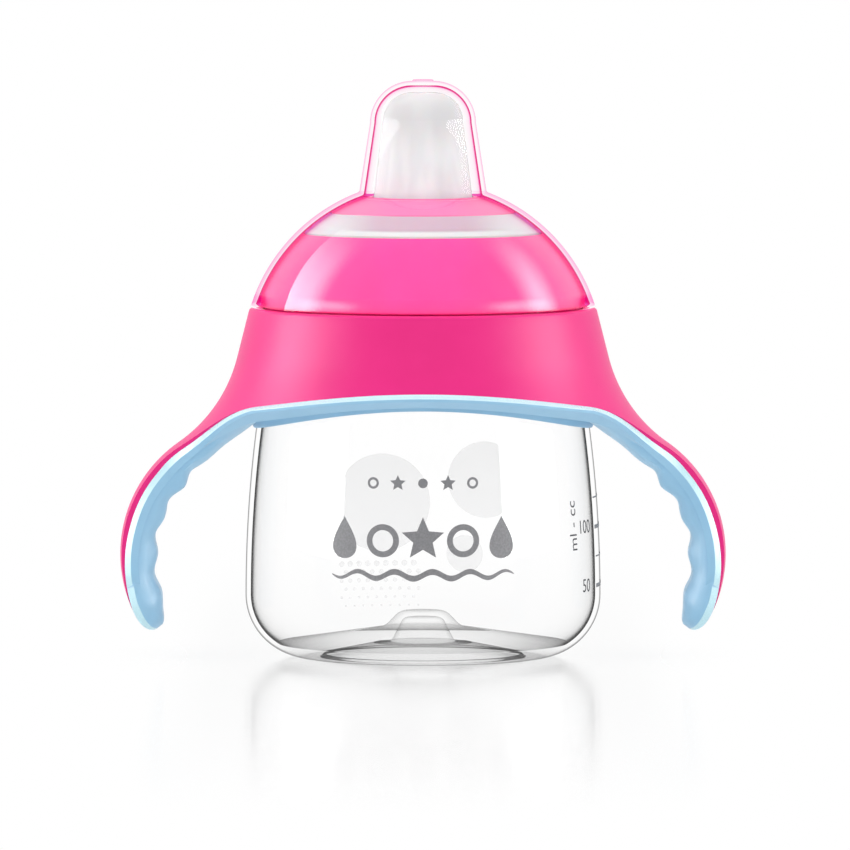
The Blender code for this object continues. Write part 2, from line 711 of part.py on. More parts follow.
def pad_loop(s):
    """Section of a finger pad across the arm, drawn in at the pad's rounded end."""
    gone = s > plate_end + CLEARANCE
    top = 0.0 if gone else plate_depth(s) + CLEARANCE
    bottom = pad_depth(s)
    width = half_width(min(s, plate_end))
    edge = width + PAD_PROUD / 4
    full = smooth_step((s - pad_start) / (root_s - pad_start))
    bevel = min(top + PAD_BEVEL, (top + bottom) / 2)
    side_end = min(bevel + (PAD_SIDE - PAD_BEVEL) * full, (bevel + bottom) / 2)
    core = min(width, half_width(root_s)) - PAD_SLOPE
    slant = [(edge + (core - edge) * t, side_end + (bottom - side_end) * (2 - t) * t) for t in SLANT_SHARES]
    side = [(width - PAD_LAP / 2, top), (edge, bevel), *slant]
    other = [(-across, depth) for across, depth in reversed(side)]
    section = [(0.0, top), *side, (0.0, bottom), *other]
    narrowed = rounded_end(s, pad_end, ARM_HALF_WIDTH, TIP_BLUNT)
    thinned = rounded_end(s, pad_end, TIP_LENGTH, TIP_BLUNT)
    middle = (top + bottom) / 2
    return [
        place_across(s, across * narrowed, middle + (depth - middle) * thinned) for across, depth in section
    ]


def make_pads(material):
    """Bumpy finger pads inside the arms, spreading under the rounded corners."""
    covered = [pad_start + (plate_end - pad_start) * i / PAD_ROWS for i in range(PAD_ROWS + 1)]
    past = plate_end + 2 * CLEARANCE
    bare = [past + (pad_end - past) * math.sin(math.pi / 2 * i / TIP_ROWS) for i in range(TIP_ROWS + 1)]
    bm = bmesh.new()
    rings = loft(bm, [pad_loop(s) for s in covered + bare], True)
    bm.faces.new(rings[0])
    bm.faces.new(rings[-1])
    pads = new_object("finger_pads", bm, material)
    mirror(pads)
    return pads


def seat_loop(angle):
    """Section of the lip that hugs the cup under the ring."""
    edge = saddle(angle)
    seat_z = edge - SEAT_DEPTH
    bore = cup_radius(seat_z) + CLEARANCE
    outer = bell.point(bell.length_at(edge), FRAME_WALL + 2 * CLEARANCE)[0]
    top_z, under_z = edge - CLEARANCE * 3 / 2, edge - TRIM_HEIGHT
    lip = bore + SEAT_WALL
    outline = [(bore, top_z), (outer, top_z), (outer, under_z), (lip, under_z), (lip, seat_z), (bore, seat_z)]
    return [(r * math.cos(angle), r * math.sin(angle), z) for r, z in outline]


def make_liner(material):
    """Soft overmould: edge band, finger pads and seat lip in one."""
    liner = make_band(material)
    boolean(liner, make_pads(material), "UNION")
    bm = bmesh.new()
    turns = [math.pi * (i / SEAT_COLUMNS - 1 / 2) for i in range(SEAT_COLUMNS + 1)]
    loft(bm, [seat_loop(angle) for angle in turns], True)
    seat = new_object("seat_lip", bm, material)
    mirror(seat)
    boolean(liner, seat, "UNION")
    return liner


def main():
    for old in list(bpy.data.objects):
        bpy.data.objects.remove(old)
    clear = plastic("clear_plastic", (0.95, 0.96, 0.97), 0.05, 1.0)
    pink = plastic("pink_plastic", (0.90, 0.05, 0.27), 0.30)
    blue = plastic("blue_soft", (0.35, 0.61, 0.83), 0.55)
    milky = plastic("milky_silicone", (0.80, 0.80, 0.80), 0.40, 0.3)
    gloss = plastic("pink_gloss", (0.93, 0.10, 0.35), 0.12)
    tinted = plastic("tinted_plastic", (0.98, 0.43, 0.67), 0.05, 1.0)
    white = plastic("white_plastic", (0.85, 0.85, 0.84), 0.35)
    pieces = [
        make_cup(clear),
        make_frame(pink),
        make_liner(blue),
        make_screw_ring(gloss),
        make_spout(milky),
        make_collar(gloss),
        make_valve_body(white),
        make_diaphragm(milky),
        make_cap(tinted),
    ]
    root = bpy.data.objects.new("sippy_cup", None)
    bpy.context.scene.collection.objects.link(root)
    for piece in pieces:
        piece.parent = root


main()
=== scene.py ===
"""Looks of a toddler's sippy cup: clear cup, handle ring with soft grips, screw lid, spout and clear cap.

Metres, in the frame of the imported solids: +Z is up on the cup's axis, the handles lie along X, and the
front of the cup looks along -Y.
"""

import logging
import math
from collections.abc import Callable, Iterable, Mapping, Sequence
from dataclasses import dataclass
from enum import Enum
from typing import Any

import bmesh
import bpy
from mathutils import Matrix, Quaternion, Vector


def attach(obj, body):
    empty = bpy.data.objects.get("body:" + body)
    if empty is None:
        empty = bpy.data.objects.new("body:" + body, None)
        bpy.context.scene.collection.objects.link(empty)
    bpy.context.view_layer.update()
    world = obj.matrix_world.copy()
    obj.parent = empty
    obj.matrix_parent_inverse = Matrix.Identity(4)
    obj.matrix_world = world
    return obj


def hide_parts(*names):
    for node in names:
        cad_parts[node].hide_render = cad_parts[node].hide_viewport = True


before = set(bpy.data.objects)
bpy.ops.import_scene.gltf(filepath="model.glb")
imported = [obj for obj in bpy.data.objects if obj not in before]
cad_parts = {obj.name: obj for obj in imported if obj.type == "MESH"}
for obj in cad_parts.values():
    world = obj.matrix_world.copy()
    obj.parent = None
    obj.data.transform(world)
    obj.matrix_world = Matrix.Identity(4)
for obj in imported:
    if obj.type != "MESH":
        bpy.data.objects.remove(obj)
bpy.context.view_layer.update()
PIECES = "lit_pieces"

ROUND_SHARE = 0.48  # of an outline's stretch that one corner's rounding may take
GLASS_IOR = 1.001  # too little to bend the view

LOG = logging.getLogger("sippy_cup")

Piece = bpy.types.Object
Material = bpy.types.Material
Mesh = bmesh.types.BMesh
Point2 = tuple[float, float]
Point3 = tuple[float, float, float]
Corner = tuple[float, float, float]
Colour = tuple[float, float, float]
Stops = tuple[tuple[float, Colour], ...]
Loops = Sequence[Sequence[Point3]]
Verts = list[list[bmesh.types.BMVert]]


class Body(Enum):
    """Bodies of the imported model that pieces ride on."""

    CUP = "cup"
    HANDLE = "handle"
    SPOUT_UNIT = "spout_unit"
    RING = "ring"
    VALVE = "valve"
    CAP = "cap"


class Slot(Enum):
    """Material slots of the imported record."""

    CLEAR = "clear_plastic"
    PINK = "pink_plastic"
    BLUE = "blue_soft"
    PINK_GLOSS = "pink_gloss"
    MILKY = "milky_silicone"
    WHITE = "white_plastic"
    TINTED = "tinted_plastic"


# Shapes


def smooth_step(x: float) -> float:
    """Smooth rise from 0 to 1 as x goes from 0 to 1."""
    x = min(max(x, 0.0), 1.0)
    return x * x * (3 - 2 * x)


def spread(first: float, last: float, count: int) -> list[float]:
    """Evenly spaced numbers, both ends included."""
    return [first + (last - first) * i / (count - 1) for i in range(count)]


def full_turn(steps: int) -> list[float]:
    """Evenly spaced angles once round a circle."""
    return [2 * math.pi * i / steps for i in range(steps)]


def arc(centre: Point2, radius: float, start: float, end: float, count: int) -> list[Point2]:
    """Points of an arc in the (distance, height) plane.

    Args:
        centre: Middle of the arc.
        radius: Radius of the arc.
        start: First angle, in radians.
        end: Last angle, in radians.
        count: Number of points.

    Returns:
        The points in order.
    """
    x, y = centre
    return [(x + radius * math.cos(a), y + radius * math.sin(a)) for a in spread(start, end, count)]


def rounded(corners: Sequence[Corner], segments: int) -> list[Point2]:
    """Outline with its corners rounded off.

    Args:
        corners: (distance, height, rounding) of each corner. The ends stay sharp.
        segments: Steps of each rounding.

    Returns:
        The outline's points in order.
    """
    points = [corners[0][:2]]
    for before, corner, after in zip(corners, corners[1:], corners[2:]):
        here = Vector(corner[:2])
        back, ahead = Vector(before[:2]) - here, Vector(after[:2]) - here
        reach = min(corner[2], ROUND_SHARE * back.length, ROUND_SHARE * ahead.length)
        if reach <= 0:
            points.append(corner[:2])
            continue
        start, end = here + back.normalized() * reach, here + ahead.normalized() * reach
        for t in spread(0.0, 1.0, segments + 1):
            bent = start * (1 - t) ** 2 + here * (2 * t * (1 - t)) + end * t**2
            points.append((bent.x, bent.y))
    points.append(corners[-1][:2])
    return points


def plain(points: Iterable[Point2]) -> list[Corner]:
    """The same points as corners that stay sharp."""
    return [(r, z, 0.0) for r, z in points]


class Maker:
    """Turns lists of points into smooth-shaded mesh objects."""

    SHARP = math.radians(32)
    AXIS = 1e-7
    WELD = 0.00002
    INSIDE = "inside"
    LYING = "lying"
    # Places to look darker: painted shade under the cup's floor and along the cap's rim, and the cap's
    # thicker gate mark.
    DARKER = "thick"
    # Chamfers marked for less roughness and a painted highlight, a paler colour.
    BEVEL_GLOSS_AND_HIGHLIGHT = "bevel"

    @classmethod
    def from_bmesh(cls, name: str, bm: Mesh) -> Piece:
        """Object from a bmesh, with its faces pointing out.

        Args:
            name: Name of the piece.
            bm: Mesh to take over. It is freed.

        Returns:
            The new object, linked to the scene.
        """
        bmesh.ops.recalc_face_normals(bm, faces=bm.faces)
        mesh = bpy.data.meshes.new(name)
        bm.to_mesh(mesh)
        bm.free()
        obj = bpy.data.objects.new(name, mesh)
        bpy.context.scene.collection.objects.link(obj)
        cls.shade(obj)
        return obj

    @classmethod
    def shade(cls, obj: Piece) -> None:
        """Smooth shading, with the sharp corners kept."""
        obj.data.shade_smooth()
        obj.data.set_sharp_from_angle(angle=cls.SHARP)

    @classmethod
    def turned(cls, name: str, outline: Sequence[Point2], steps: int, closed: bool) -> Piece:
        """Body of revolution about the Z axis.

        Args:
            name: Name of the piece.
            outline: (distance, height) points. An open outline starts and ends on the axis.
            steps: Facets round the axis.
            closed: Whether the outline's end joins its start.

        Returns:
            The new object.
        """
        bm = bmesh.new()
        turns = full_turn(steps)
        rings = []
        for r, z in outline:
            if r < cls.AXIS:
                rings.append([bm.verts.new((0.0, 0.0, z))] * steps)
            else:
                rings.append([bm.verts.new((r * math.cos(a), r * math.sin(a), z)) for a in turns])
        pairs = list(zip(rings, rings[1:]))
        if closed:
            pairs.append((rings[-1], rings[0]))
        for lower, upper in pairs:
            for i in range(steps):
                j = (i + 1) % steps
                corners = dict.fromkeys((lower[i], lower[j], upper[j], upper[i]))
                if len(corners) > 2:
                    bm.faces.new(list(corners))
        return cls.from_bmesh(name, bm)

    @staticmethod
    def loft(bm: Mesh, loops: Loops, closed: bool) -> Verts:
        """Triangles between neighbouring loops of points.

        Args:
            bm: Mesh to add to.
            loops: Loops with the same number of points.
            closed: Whether each loop's end joins its start.

        Returns:
            The new vertices, loop by loop.
        """
        made = [[bm.verts.new(point) for point in loop] for loop in loops]
        for one, two in zip(made, made[1:]):
            pairs = list(zip(one, two))
            if closed:
                pairs.append(pairs[0])
            for (a, b), (d, c) in zip(pairs, pairs[1:]):
                bm.faces.new((a, b, c))
                bm.faces.new((a, c, d))
        return made

    @classmethod
    def loft_capped(cls, bm: Mesh, loops: Loops) -> None:
        """Closed tube through loops of points.

        Args:
            bm: Mesh to add to.
            loops: Loops with the same number of points.
        """
        made = cls.loft(bm, loops, True)
        bm.faces.new(made[0])
        bm.faces.new(made[-1])

    @staticmethod
    def mark(obj: Piece, name: str, share: Callable[[Vector], float]) -> None:
        """Keep a number on each point of a mesh for its material.

        Args:
            obj: The object.
            name: Name that the material reads.
            share: Number at a place.
        """
        marks = obj.data.attributes.new(name, "FLOAT", "POINT")
        marks.data.foreach_set("value", [float(share(vert.co)) for vert in obj.data.vertices])

    @staticmethod
    def settle(obj: Piece) -> None:
        """Replace an object's mesh by what its modifiers make of it.

        Args:
            obj: The object.
        """
        graph = bpy.context.evaluated_depsgraph_get()
        mesh = bpy.data.meshes.new_from_object(obj.evaluated_get(graph))
        obj.modifiers.clear()
        obj.data = mesh

    @classmethod
    def mirror(cls, obj: Piece, across_x: bool, across_y: bool) -> None:
        """Complete a half or a quarter by mirroring it.

        Args:
            obj: The half or quarter.
            across_x: Whether it is mirrored to the other side in X.
            across_y: The same in Y.
        """
        modifier = obj.modifiers.new("Mirror", "MIRROR")
        modifier.use_axis = (across_x, across_y, False)
        modifier.merge_threshold = cls.WELD
        cls.settle(obj)
        cls.shade(obj)

    @classmethod
    def drill(
        cls, obj: Piece, places: Iterable[Point3], radius: float, depth: float, sides: int
    ) -> None:
        """Cut upright round holes into an object.

        Args:
            obj: Object to cut.
            places: Middle of each hole.
            radius: Radius of the holes.
            depth: Length of the cutters.
            sides: Facets of each hole.
        """
        bm = bmesh.new()
        for place in places:
            made = bmesh.ops.create_cone(
                bm, cap_ends=True, segments=sides, radius1=radius, radius2=radius, depth=depth
            )
            bmesh.ops.translate(bm, verts=made["verts"], vec=place)
        cutter = cls.from_bmesh("cutter", bm)
        modifier = obj.modifiers.new("Drill", "BOOLEAN")
        modifier.operation = "DIFFERENCE"
        modifier.solver = "MANIFOLD"
        modifier.object = cutter
        cls.settle(obj)
        bpy.data.objects.remove(cutter)
        cls.shade(obj)


# Shader graphs


class Graph:
    """Node tree of one material or of the world."""

    def __init__(self, tree: bpy.types.NodeTree) -> None:
        """Start from an empty tree."""
        tree.nodes.clear()
        self.tree = tree

    @classmethod
    def material(cls, name: str) -> "tuple[Material, Graph]":
        """New material, and its empty tree.

        Args:
            name: Name of the material.

        Returns:
            The material and its graph.
        """
        made = bpy.data.materials.new(name)
        made.use_nodes = True
        return made, cls(made.node_tree)

    def add(
        self,
        kind: str,
        settings: Mapping[str, Any] | None = None,
        sockets: Mapping[str | int, Any] | None = None,
        output: str | int = 0,
    ) -> "Sock":
        """Add any node.

        Args:
            kind: Blender's name of the node's type.
            settings: Properties, set first. "stops" holds a ramp's (place, colour) pairs.
            sockets: Values or links of the inputs, by name or number.
            output: Output to return.

        Returns:
            The chosen output.
        """
        node = self.tree.nodes.new(kind)
        for name, value in (settings or {}).items():
            if name == "stops":
                self._set_stops(node.color_ramp, value)
            else:
                setattr(node, name, value)
        for key, value in (sockets or {}).items():
            self._feed(node.inputs[key], value)
        return Sock(self, node.outputs[output] if len(node.outputs) else None)

    @staticmethod
    def _set_stops(ramp: bpy.types.ColorRamp, stops: Sequence[tuple[float, Colour]]) -> None:
        """Give a colour ramp its stops.

        Args:
            ramp: The ramp.
            stops: (place, colour) pairs.
        """
        while len(ramp.elements) < len(stops):
            ramp.elements.new(1.0)
        for element, (place, colour) in zip(ramp.elements, stops):
            element.position = place
            element.color = (*colour, 1.0)

    def _feed(self, socket: bpy.types.NodeSocket, value: Any) -> None:
        """Link or set one input.

        Args:
            socket: The input.
            value: Link, colour or number.
        """
        if isinstance(value, Sock):
            self.tree.links.new(value.socket, socket)
        elif socket.type == "RGBA" and not isinstance(value, (int, float)):
            socket.default_value = (*value[:3], 1.0)
        else:
            socket.default_value = value

    def mix(self, share: "Sock | float", first: Any, second: Any) -> "Sock":
        """Colour between two colours.

        Args:
            share: 0 gives the first colour and 1 the second.
            first: Colour or link.
            second: Colour or link.

        Returns:
            The mixed colour.
        """
        settings = {"data_type": "RGBA", "clamp_factor": True}
        return self.add("ShaderNodeMix", settings, {0: share, 6: first, 7: second}, output=2)

    def place(self) -> "Sock":
        """Position on the piece, in metres."""
        return self.add("ShaderNodeTexCoord", output="Object")

    def part(self, axis: str, vector: "Sock | None" = None) -> "Sock":
        """X, Y or Z of a vector, or else of the position on the piece."""
        return self.add("ShaderNodeSeparateXYZ", {}, {0: vector or self.place()}, output=axis)

    def noise(self, size: float, detail: float = 2.0) -> "Sock":
        """Cloudy values from 0 to 1 with features of this size in metres."""
        sockets = {"Vector": self.place(), "Scale": 1.0 / size, "Detail": detail}
        return self.add("ShaderNodeTexNoise", {}, sockets)

    def bump(self, height: "Sock", depth: float) -> "Sock":
        """Surface normal from a height that varies by this depth in metres."""
        return self.add("ShaderNodeBump", {}, {"Height": height, "Distance": depth})

    def facing(self) -> "Sock":
        """0 where the surface is seen face on, and 1 where it is seen edge on."""
        return self.add("ShaderNodeLayerWeight", {}, {"Blend": 0.5}, output="Facing")

    def mark(self, name: str) -> "Sock":
        """Number kept on the points of the mesh."""
        return self.add("ShaderNodeAttribute", {"attribute_name": name}, output="Fac")

    def light_path(self, which: str) -> "Sock":
        """One of the Light Path outputs."""
        return self.add("ShaderNodeLightPath", output=which)

    def plastic(self, sockets: Mapping[str, Any]) -> "Sock":
        """Principled shader with these inputs."""
        return self.add("ShaderNodeBsdfPrincipled", {}, sockets)

    def blend(self, share: "Sock", first: "Sock", second: "Sock") -> "Sock":
        """Shader between two shaders."""
        return self.add("ShaderNodeMixShader", {}, {0: share, 1: first, 2: second})

    def finish(self, kind: str, surface: "Sock") -> None:
        """Link the result to the tree's output node."""
        self.add(kind, {}, {"Surface": surface})


@dataclass(frozen=True)
class Sock:
    """Output of a node, which takes part in Python arithmetic."""

    graph: Graph
    socket: bpy.types.NodeSocket | None

    def _math(self, operation: str, first: Any, second: Any) -> "Sock":
        """Add one Math node."""
        return self.graph.add("ShaderNodeMath", {"operation": operation}, {0: first, 1: second})

    def __add__(self, other: "Sock | float") -> "Sock":
        """Sum."""
        return self._math("ADD", self, other)

    __radd__ = __add__

    def __mul__(self, other: "Sock | float") -> "Sock":
        """Product."""
        return self._math("MULTIPLY", self, other)

    __rmul__ = __mul__

    def __sub__(self, other: "Sock | float") -> "Sock":
        """Difference."""
        return self._math("SUBTRACT", self, other)

    def __rsub__(self, other: "Sock | float") -> "Sock":
        """Difference from a number."""
        return self._math("SUBTRACT", other, self)

    def __pow__(self, other: "Sock | float") -> "Sock":
        """Power."""
        return self._math("POWER", self, other)

    def larger(self, other: "Sock | float") -> "Sock":
        """The larger of two values."""
        return self._math("MAXIMUM", self, other)

    def ramp(self, low: float, high: float) -> "Sock":
        """Smooth rise from 0 to 1 between two values."""
        sockets = {"Value": self, "From Min": low, "From Max": high}
        return self.graph.add("ShaderNodeMapRange", {"interpolation_type": "SMOOTHSTEP"}, sockets)


# Finishes


@dataclass(frozen=True)
class Moulded:
    """Opaque moulded plastic or rubber with a fine grain."""

    name: str
    colour: Colour
    deep: Colour
    roughness: float
    grain: float = 0.00018
    grain_depth: float = 0.000012
    shine: float = 0.5
    # bevel is a paler colour on the marked chamfers: a painted highlight.
    bevel: Colour | None = None
    bevel_gloss: float = 0.12
    sheen: float = 0.0
    cloud: float = 0.012

    def material(self) -> Material:
        """Make the material.

        Returns:
            Material with mottled colour, uneven gloss and a grained surface, and a painted highlight on
            marked chamfers.
        """
        made, graph = Graph.material(self.name)
        clouds, grain = graph.noise(self.cloud, 3.0), graph.noise(self.grain)
        colour = graph.mix(clouds.ramp(0.25, 0.75), self.deep, self.colour)
        roughness = self.roughness + (grain - 0.5) * 0.10 + (clouds - 0.5) * 0.06
        # Marked chamfers: less rough, and paler by a painted highlight.
        if self.bevel:
            bevel_gloss_and_highlight = graph.mark(Maker.BEVEL_GLOSS_AND_HIGHLIGHT)
            colour = graph.mix(bevel_gloss_and_highlight, colour, self.bevel)
            roughness = roughness - bevel_gloss_and_highlight * self.bevel_gloss
        shader = graph.plastic(
            {
                "Base Color": colour,
                "Roughness": roughness,
                "Specular IOR Level": self.shine,
                "Sheen Weight": self.sheen,
                "IOR": 1.5,
                "Normal": graph.bump(grain, self.grain_depth),
            }
        )
        graph.finish("ShaderNodeOutputMaterial", shader)
        return made


@dataclass(frozen=True)
class Clear:
    """Thin clear plastic that hardly bends the view, with a colour that gathers where it is seen edge on.

    On the pink cap this is the plastic's tint; on the clear cup the greys are painted shade, dark lines
    standing in for refraction. Each list of stops gives the colour from seen face on, at 0, to edge on, at
    1: on the outer side, on the inner side, and where the plastic lies flat.
    """

    name: str
    outer: Stops
    inner: Stops
    lying: Stops
    passed: Colour
    coat: float
    dull_z: Point2 = (1.0, 2.0)
    dulling: float = 0.85
    coat_facing: Point2 = (0.55, 0.85)
    smear: float = 0.006

    def material(self) -> Material:
        """Make the material.

        Returns:
            Glassy material, glossy through its coat, that lets lamp light through.
        """
        made, graph = Graph.material(self.name)
        smears = graph.noise(self.smear)
        # The darker mark shifts a place towards the edge-on colour: painted shade on the cup.
        facing = graph.mark(Maker.DARKER) + graph.facing()
        outer, inner, lying = (
            graph.add("ShaderNodeValToRGB", {"stops": stops}, {0: facing}, output="Color")
            for stops in (self.outer, self.inner, self.lying)
        )
        inside, flat = graph.mark(Maker.INSIDE), graph.mark(Maker.LYING)
        shown = (1 - inside) * (1 - flat) * (1 - graph.part("Z").ramp(*self.dull_z) * self.dulling)
        shown = shown * (1 - facing.ramp(*self.coat_facing))
        shader = graph.plastic(
            {
                "Base Color": graph.mix(flat, graph.mix(inside, outer, inner), lying),
                "Roughness": smears * 0.01,
                "Transmission Weight": 1.0,
                "IOR": GLASS_IOR,
                "Coat Weight": shown * (0.85 + smears * 0.3) * self.coat,
                "Coat Roughness": 0.03,
            }
        )
        through = graph.add("ShaderNodeBsdfTransparent", {}, {"Color": self.passed})
        shadow = graph.light_path("Is Shadow Ray")
        graph.finish("ShaderNodeOutputMaterial", graph.blend(shadow, shader, through))
        return made


def greys(*stops: Point2) -> Stops:
    """Neutral tints from (place, brightness) pairs."""
    return tuple((place, (level, level, level)) for place, level in stops)


@dataclass(frozen=True)
class Silicone:
    """Milky silicone that lets some light through, with painted shade: pink on its upper tier under the
    collar, and darker grey where it is seen edge on.
    """

    name: str
    colour: Colour
    deep: Colour
    # edge is painted shade: the darker grey where the spout is seen edge on.
    edge: Colour
    # collar_shade_colour is painted shade: the shadow and reflection of the pink collar above, on the
    # band's upper tier.
    collar_shade_colour: Colour
    lower_tier: Colour
    tier_z: Point2 = (0.0900, 0.0906)
    dome_z: Point2 = (0.0940, 0.0962)
    # Across this X range the painted collar shade fades out.
    collar_shade_x: Point2 = (0.008, 0.020)
    tip: Colour = (0.53, 0.535, 0.535)
    tip_z: Point2 = (0.104, 0.115)
    roughness: float = 0.48
    clearness: float = 0.10
    streak_scale: float = 330.0
    streak_stretch: Point3 = (1.0, 1.0, 0.06)
    edge_shade_facing: Point2 = (0.78, 0.94)
    cloud: float = 0.009
    grain: float = 0.0003
    grain_depth: float = 0.000008

    def material(self) -> Material:
        """Make the material.

        Returns:
            Cloudy, softly glossy material.
        """
        made, graph = Graph.material(self.name)
        clouds, grain = graph.noise(self.cloud), graph.noise(self.grain)
        stretch = {0: graph.place(), 1: self.streak_stretch}
        drawn_out = graph.add("ShaderNodeVectorMath", {"operation": "MULTIPLY"}, stretch)
        sockets = {"Vector": drawn_out, "Scale": self.streak_scale, "Detail": 1.0}
        streaks = graph.add("ShaderNodeTexNoise", {}, sockets)
        height, across = graph.part("Z"), graph.part("X")
        # Painted shade: the collar's pink shadow and reflection on the upper tier, fading out away from the
        # middle in X.
        collar_shade_share = 1 - across.larger(0 - across).ramp(*self.collar_shade_x)
        tiers = graph.mix(height.ramp(*self.tier_z) * collar_shade_share, self.lower_tier, self.collar_shade_colour)
        cloudy = graph.mix(streaks.ramp(0.35, 0.65), self.deep, self.colour)
        cloudy = graph.mix(height.ramp(*self.tip_z), cloudy, self.tip)
        # Painted shade: darker grey where the spout is seen edge on.
        cloudy = graph.mix(graph.facing().ramp(*self.edge_shade_facing), cloudy, self.edge)
        shader = graph.plastic(
            {
                "Base Color": graph.mix(height.ramp(*self.dome_z), tiers, cloudy),
                "Roughness": self.roughness + (clouds - 0.5) * 0.1,
                "Specular IOR Level": 0.1,
                "Transmission Weight": self.clearness,
                "Subsurface Weight": 0.35,
                "Subsurface Scale": 0.003,
                "IOR": 1.41,
                "Normal": graph.bump(grain, self.grain_depth),
            }
        )
        graph.finish("ShaderNodeOutputMaterial", shader)
        return made


@dataclass(frozen=True)
class Ink:
    """Screen-printed ink."""

    name: str
    colour: Colour
    thin: Colour
    cover: float = 1.0
    mesh: float = 0.0004

    def material(self) -> Material:
        """Make the material.

        Returns:
            Matt ink with the fine unevenness of a screen print.
        """
        made, graph = Graph.material(self.name)
        mesh = graph.noise(self.mesh)
        shader = graph.plastic(
            {
                "Base Color": graph.mix(mesh.ramp(0.3, 0.7), self.thin, self.colour),
                "Roughness": 0.5 + (mesh - 0.5) * 0.2,
                "Specular IOR Level": 0.2,
                "Alpha": self.cover,
            }
        )
        graph.finish("ShaderNodeOutputMaterial", shader)
        return made


class Finishes:
    """Every material of the cup, made once."""

    def __init__(self) -> None:
        """Make the materials."""
        # The cup's greys darken towards edge on: painted shade for the dark lines that refraction shows at
        # its outline, on its inner side and across its floor.
        self.clear = Clear(
            "clear_plastic_polished",
            greys((0.0, 1.0), (0.86, 1.0), (0.91, 0.34), (1.0, 0.15)),
            greys(
                (0.40, 1.0), (0.55, 0.975), (0.66, 0.92), (0.75, 0.81),
                (0.80, 0.60), (0.85, 0.16), (0.89, 0.04),
            ),
            greys(
                (0.0, 1.0), (0.50, 0.97), (0.62, 0.86), (0.75, 0.78),
                (0.90, 0.60), (0.96, 0.28), (1.0, 0.04),
            ),
            (0.96, 0.96, 0.96),
            0.25,
        ).material()
        face, bright, deep = (1.0, 0.988, 0.994), (1.0, 0.36, 0.66), (0.80, 0.010, 0.24)
        self.tinted = Clear(
            "clear_pink_polished",
            ((0.50, face), (0.74, (1.0, 0.92, 0.96)), (0.84, (1.0, 0.62, 0.81)), (1.0, bright)),
            (
                (0.45, face), (0.60, (1.0, 0.90, 0.95)), (0.70, (1.0, 0.74, 0.87)),
                (0.75, (0.96, 0.36, 0.63)), (0.79, deep),
            ),
            ((0.0, face), (1.0, face)),
            (0.99, 0.98, 0.985),
            0.85,
            (0.0945, 0.0985),
        ).material()
        self.pink = Moulded(
            "pink_satin", (0.81, 0.022, 0.225), (0.78, 0.019, 0.21), 0.40, shine=0.19
        ).material()
        self.pink_gloss = Moulded(
            "pink_polished", (0.90, 0.048, 0.285), (0.87, 0.042, 0.268), 0.22, grain_depth=0.000003
        ).material()
        # This paler pink is painted sheen: top light on the upward-facing pink collar.
        self.collar = Moulded(
            "pale_pink_painted_sheen", (0.82, 0.155, 0.35), (0.80, 0.142, 0.335), 0.3, grain_depth=0.000003
        ).material()
        # Its bevel colour is a painted highlight on the liner's chamfers.
        self.blue = Moulded(
            "light_blue_soft", (0.30, 0.55, 0.75), (0.27, 0.52, 0.73), 0.40, grain=0.00025,
            grain_depth=0.00002, bevel=(0.56, 0.83, 0.91), sheen=0.10,
        ).material()
        # Two colours of the milky silicone are painted shade: the dark grey at its edges, and the pink
        # under the collar.
        self.milky = Silicone(
            "milky_silicone", (0.66, 0.665, 0.665), (0.61, 0.615, 0.62), (0.30, 0.30, 0.30),
            (0.47, 0.36, 0.42), (0.58, 0.62, 0.605),
        ).material()
        self.white = Moulded("white_moulded", (0.82, 0.82, 0.80), (0.78, 0.78, 0.76), 0.35).material()
        self.dark_ink = Ink("dark_ink", (0.045, 0.045, 0.05), (0.06, 0.06, 0.065)).material()
        self.grey_ink = Ink("grey_ink", (0.20, 0.20, 0.21), (0.25, 0.25, 0.26)).material()
        self.pale_ink = Ink("pale_grey_ink", (0.60, 0.60, 0.61), (0.64, 0.64, 0.65), 0.13).material()


def fit_out(
    obj: Piece, body: Body, material: Material, stands_for: str = ""
) -> None:
    """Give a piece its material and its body.

    Args:
        obj: The piece.
        body: Body that it rides on.
        material: Its finish.
        stands_for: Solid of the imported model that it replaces, if any.
    """
    obj.data.materials.clear()
    obj.data.materials.append(material)
    bpy.data.collections[PIECES].objects.link(obj)
    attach(obj, body.value)
    if stands_for:
        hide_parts(stands_for)
    LOG.info("%s: %d faces on %s", obj.name, len(obj.data.polygons), body.value)


# The cup


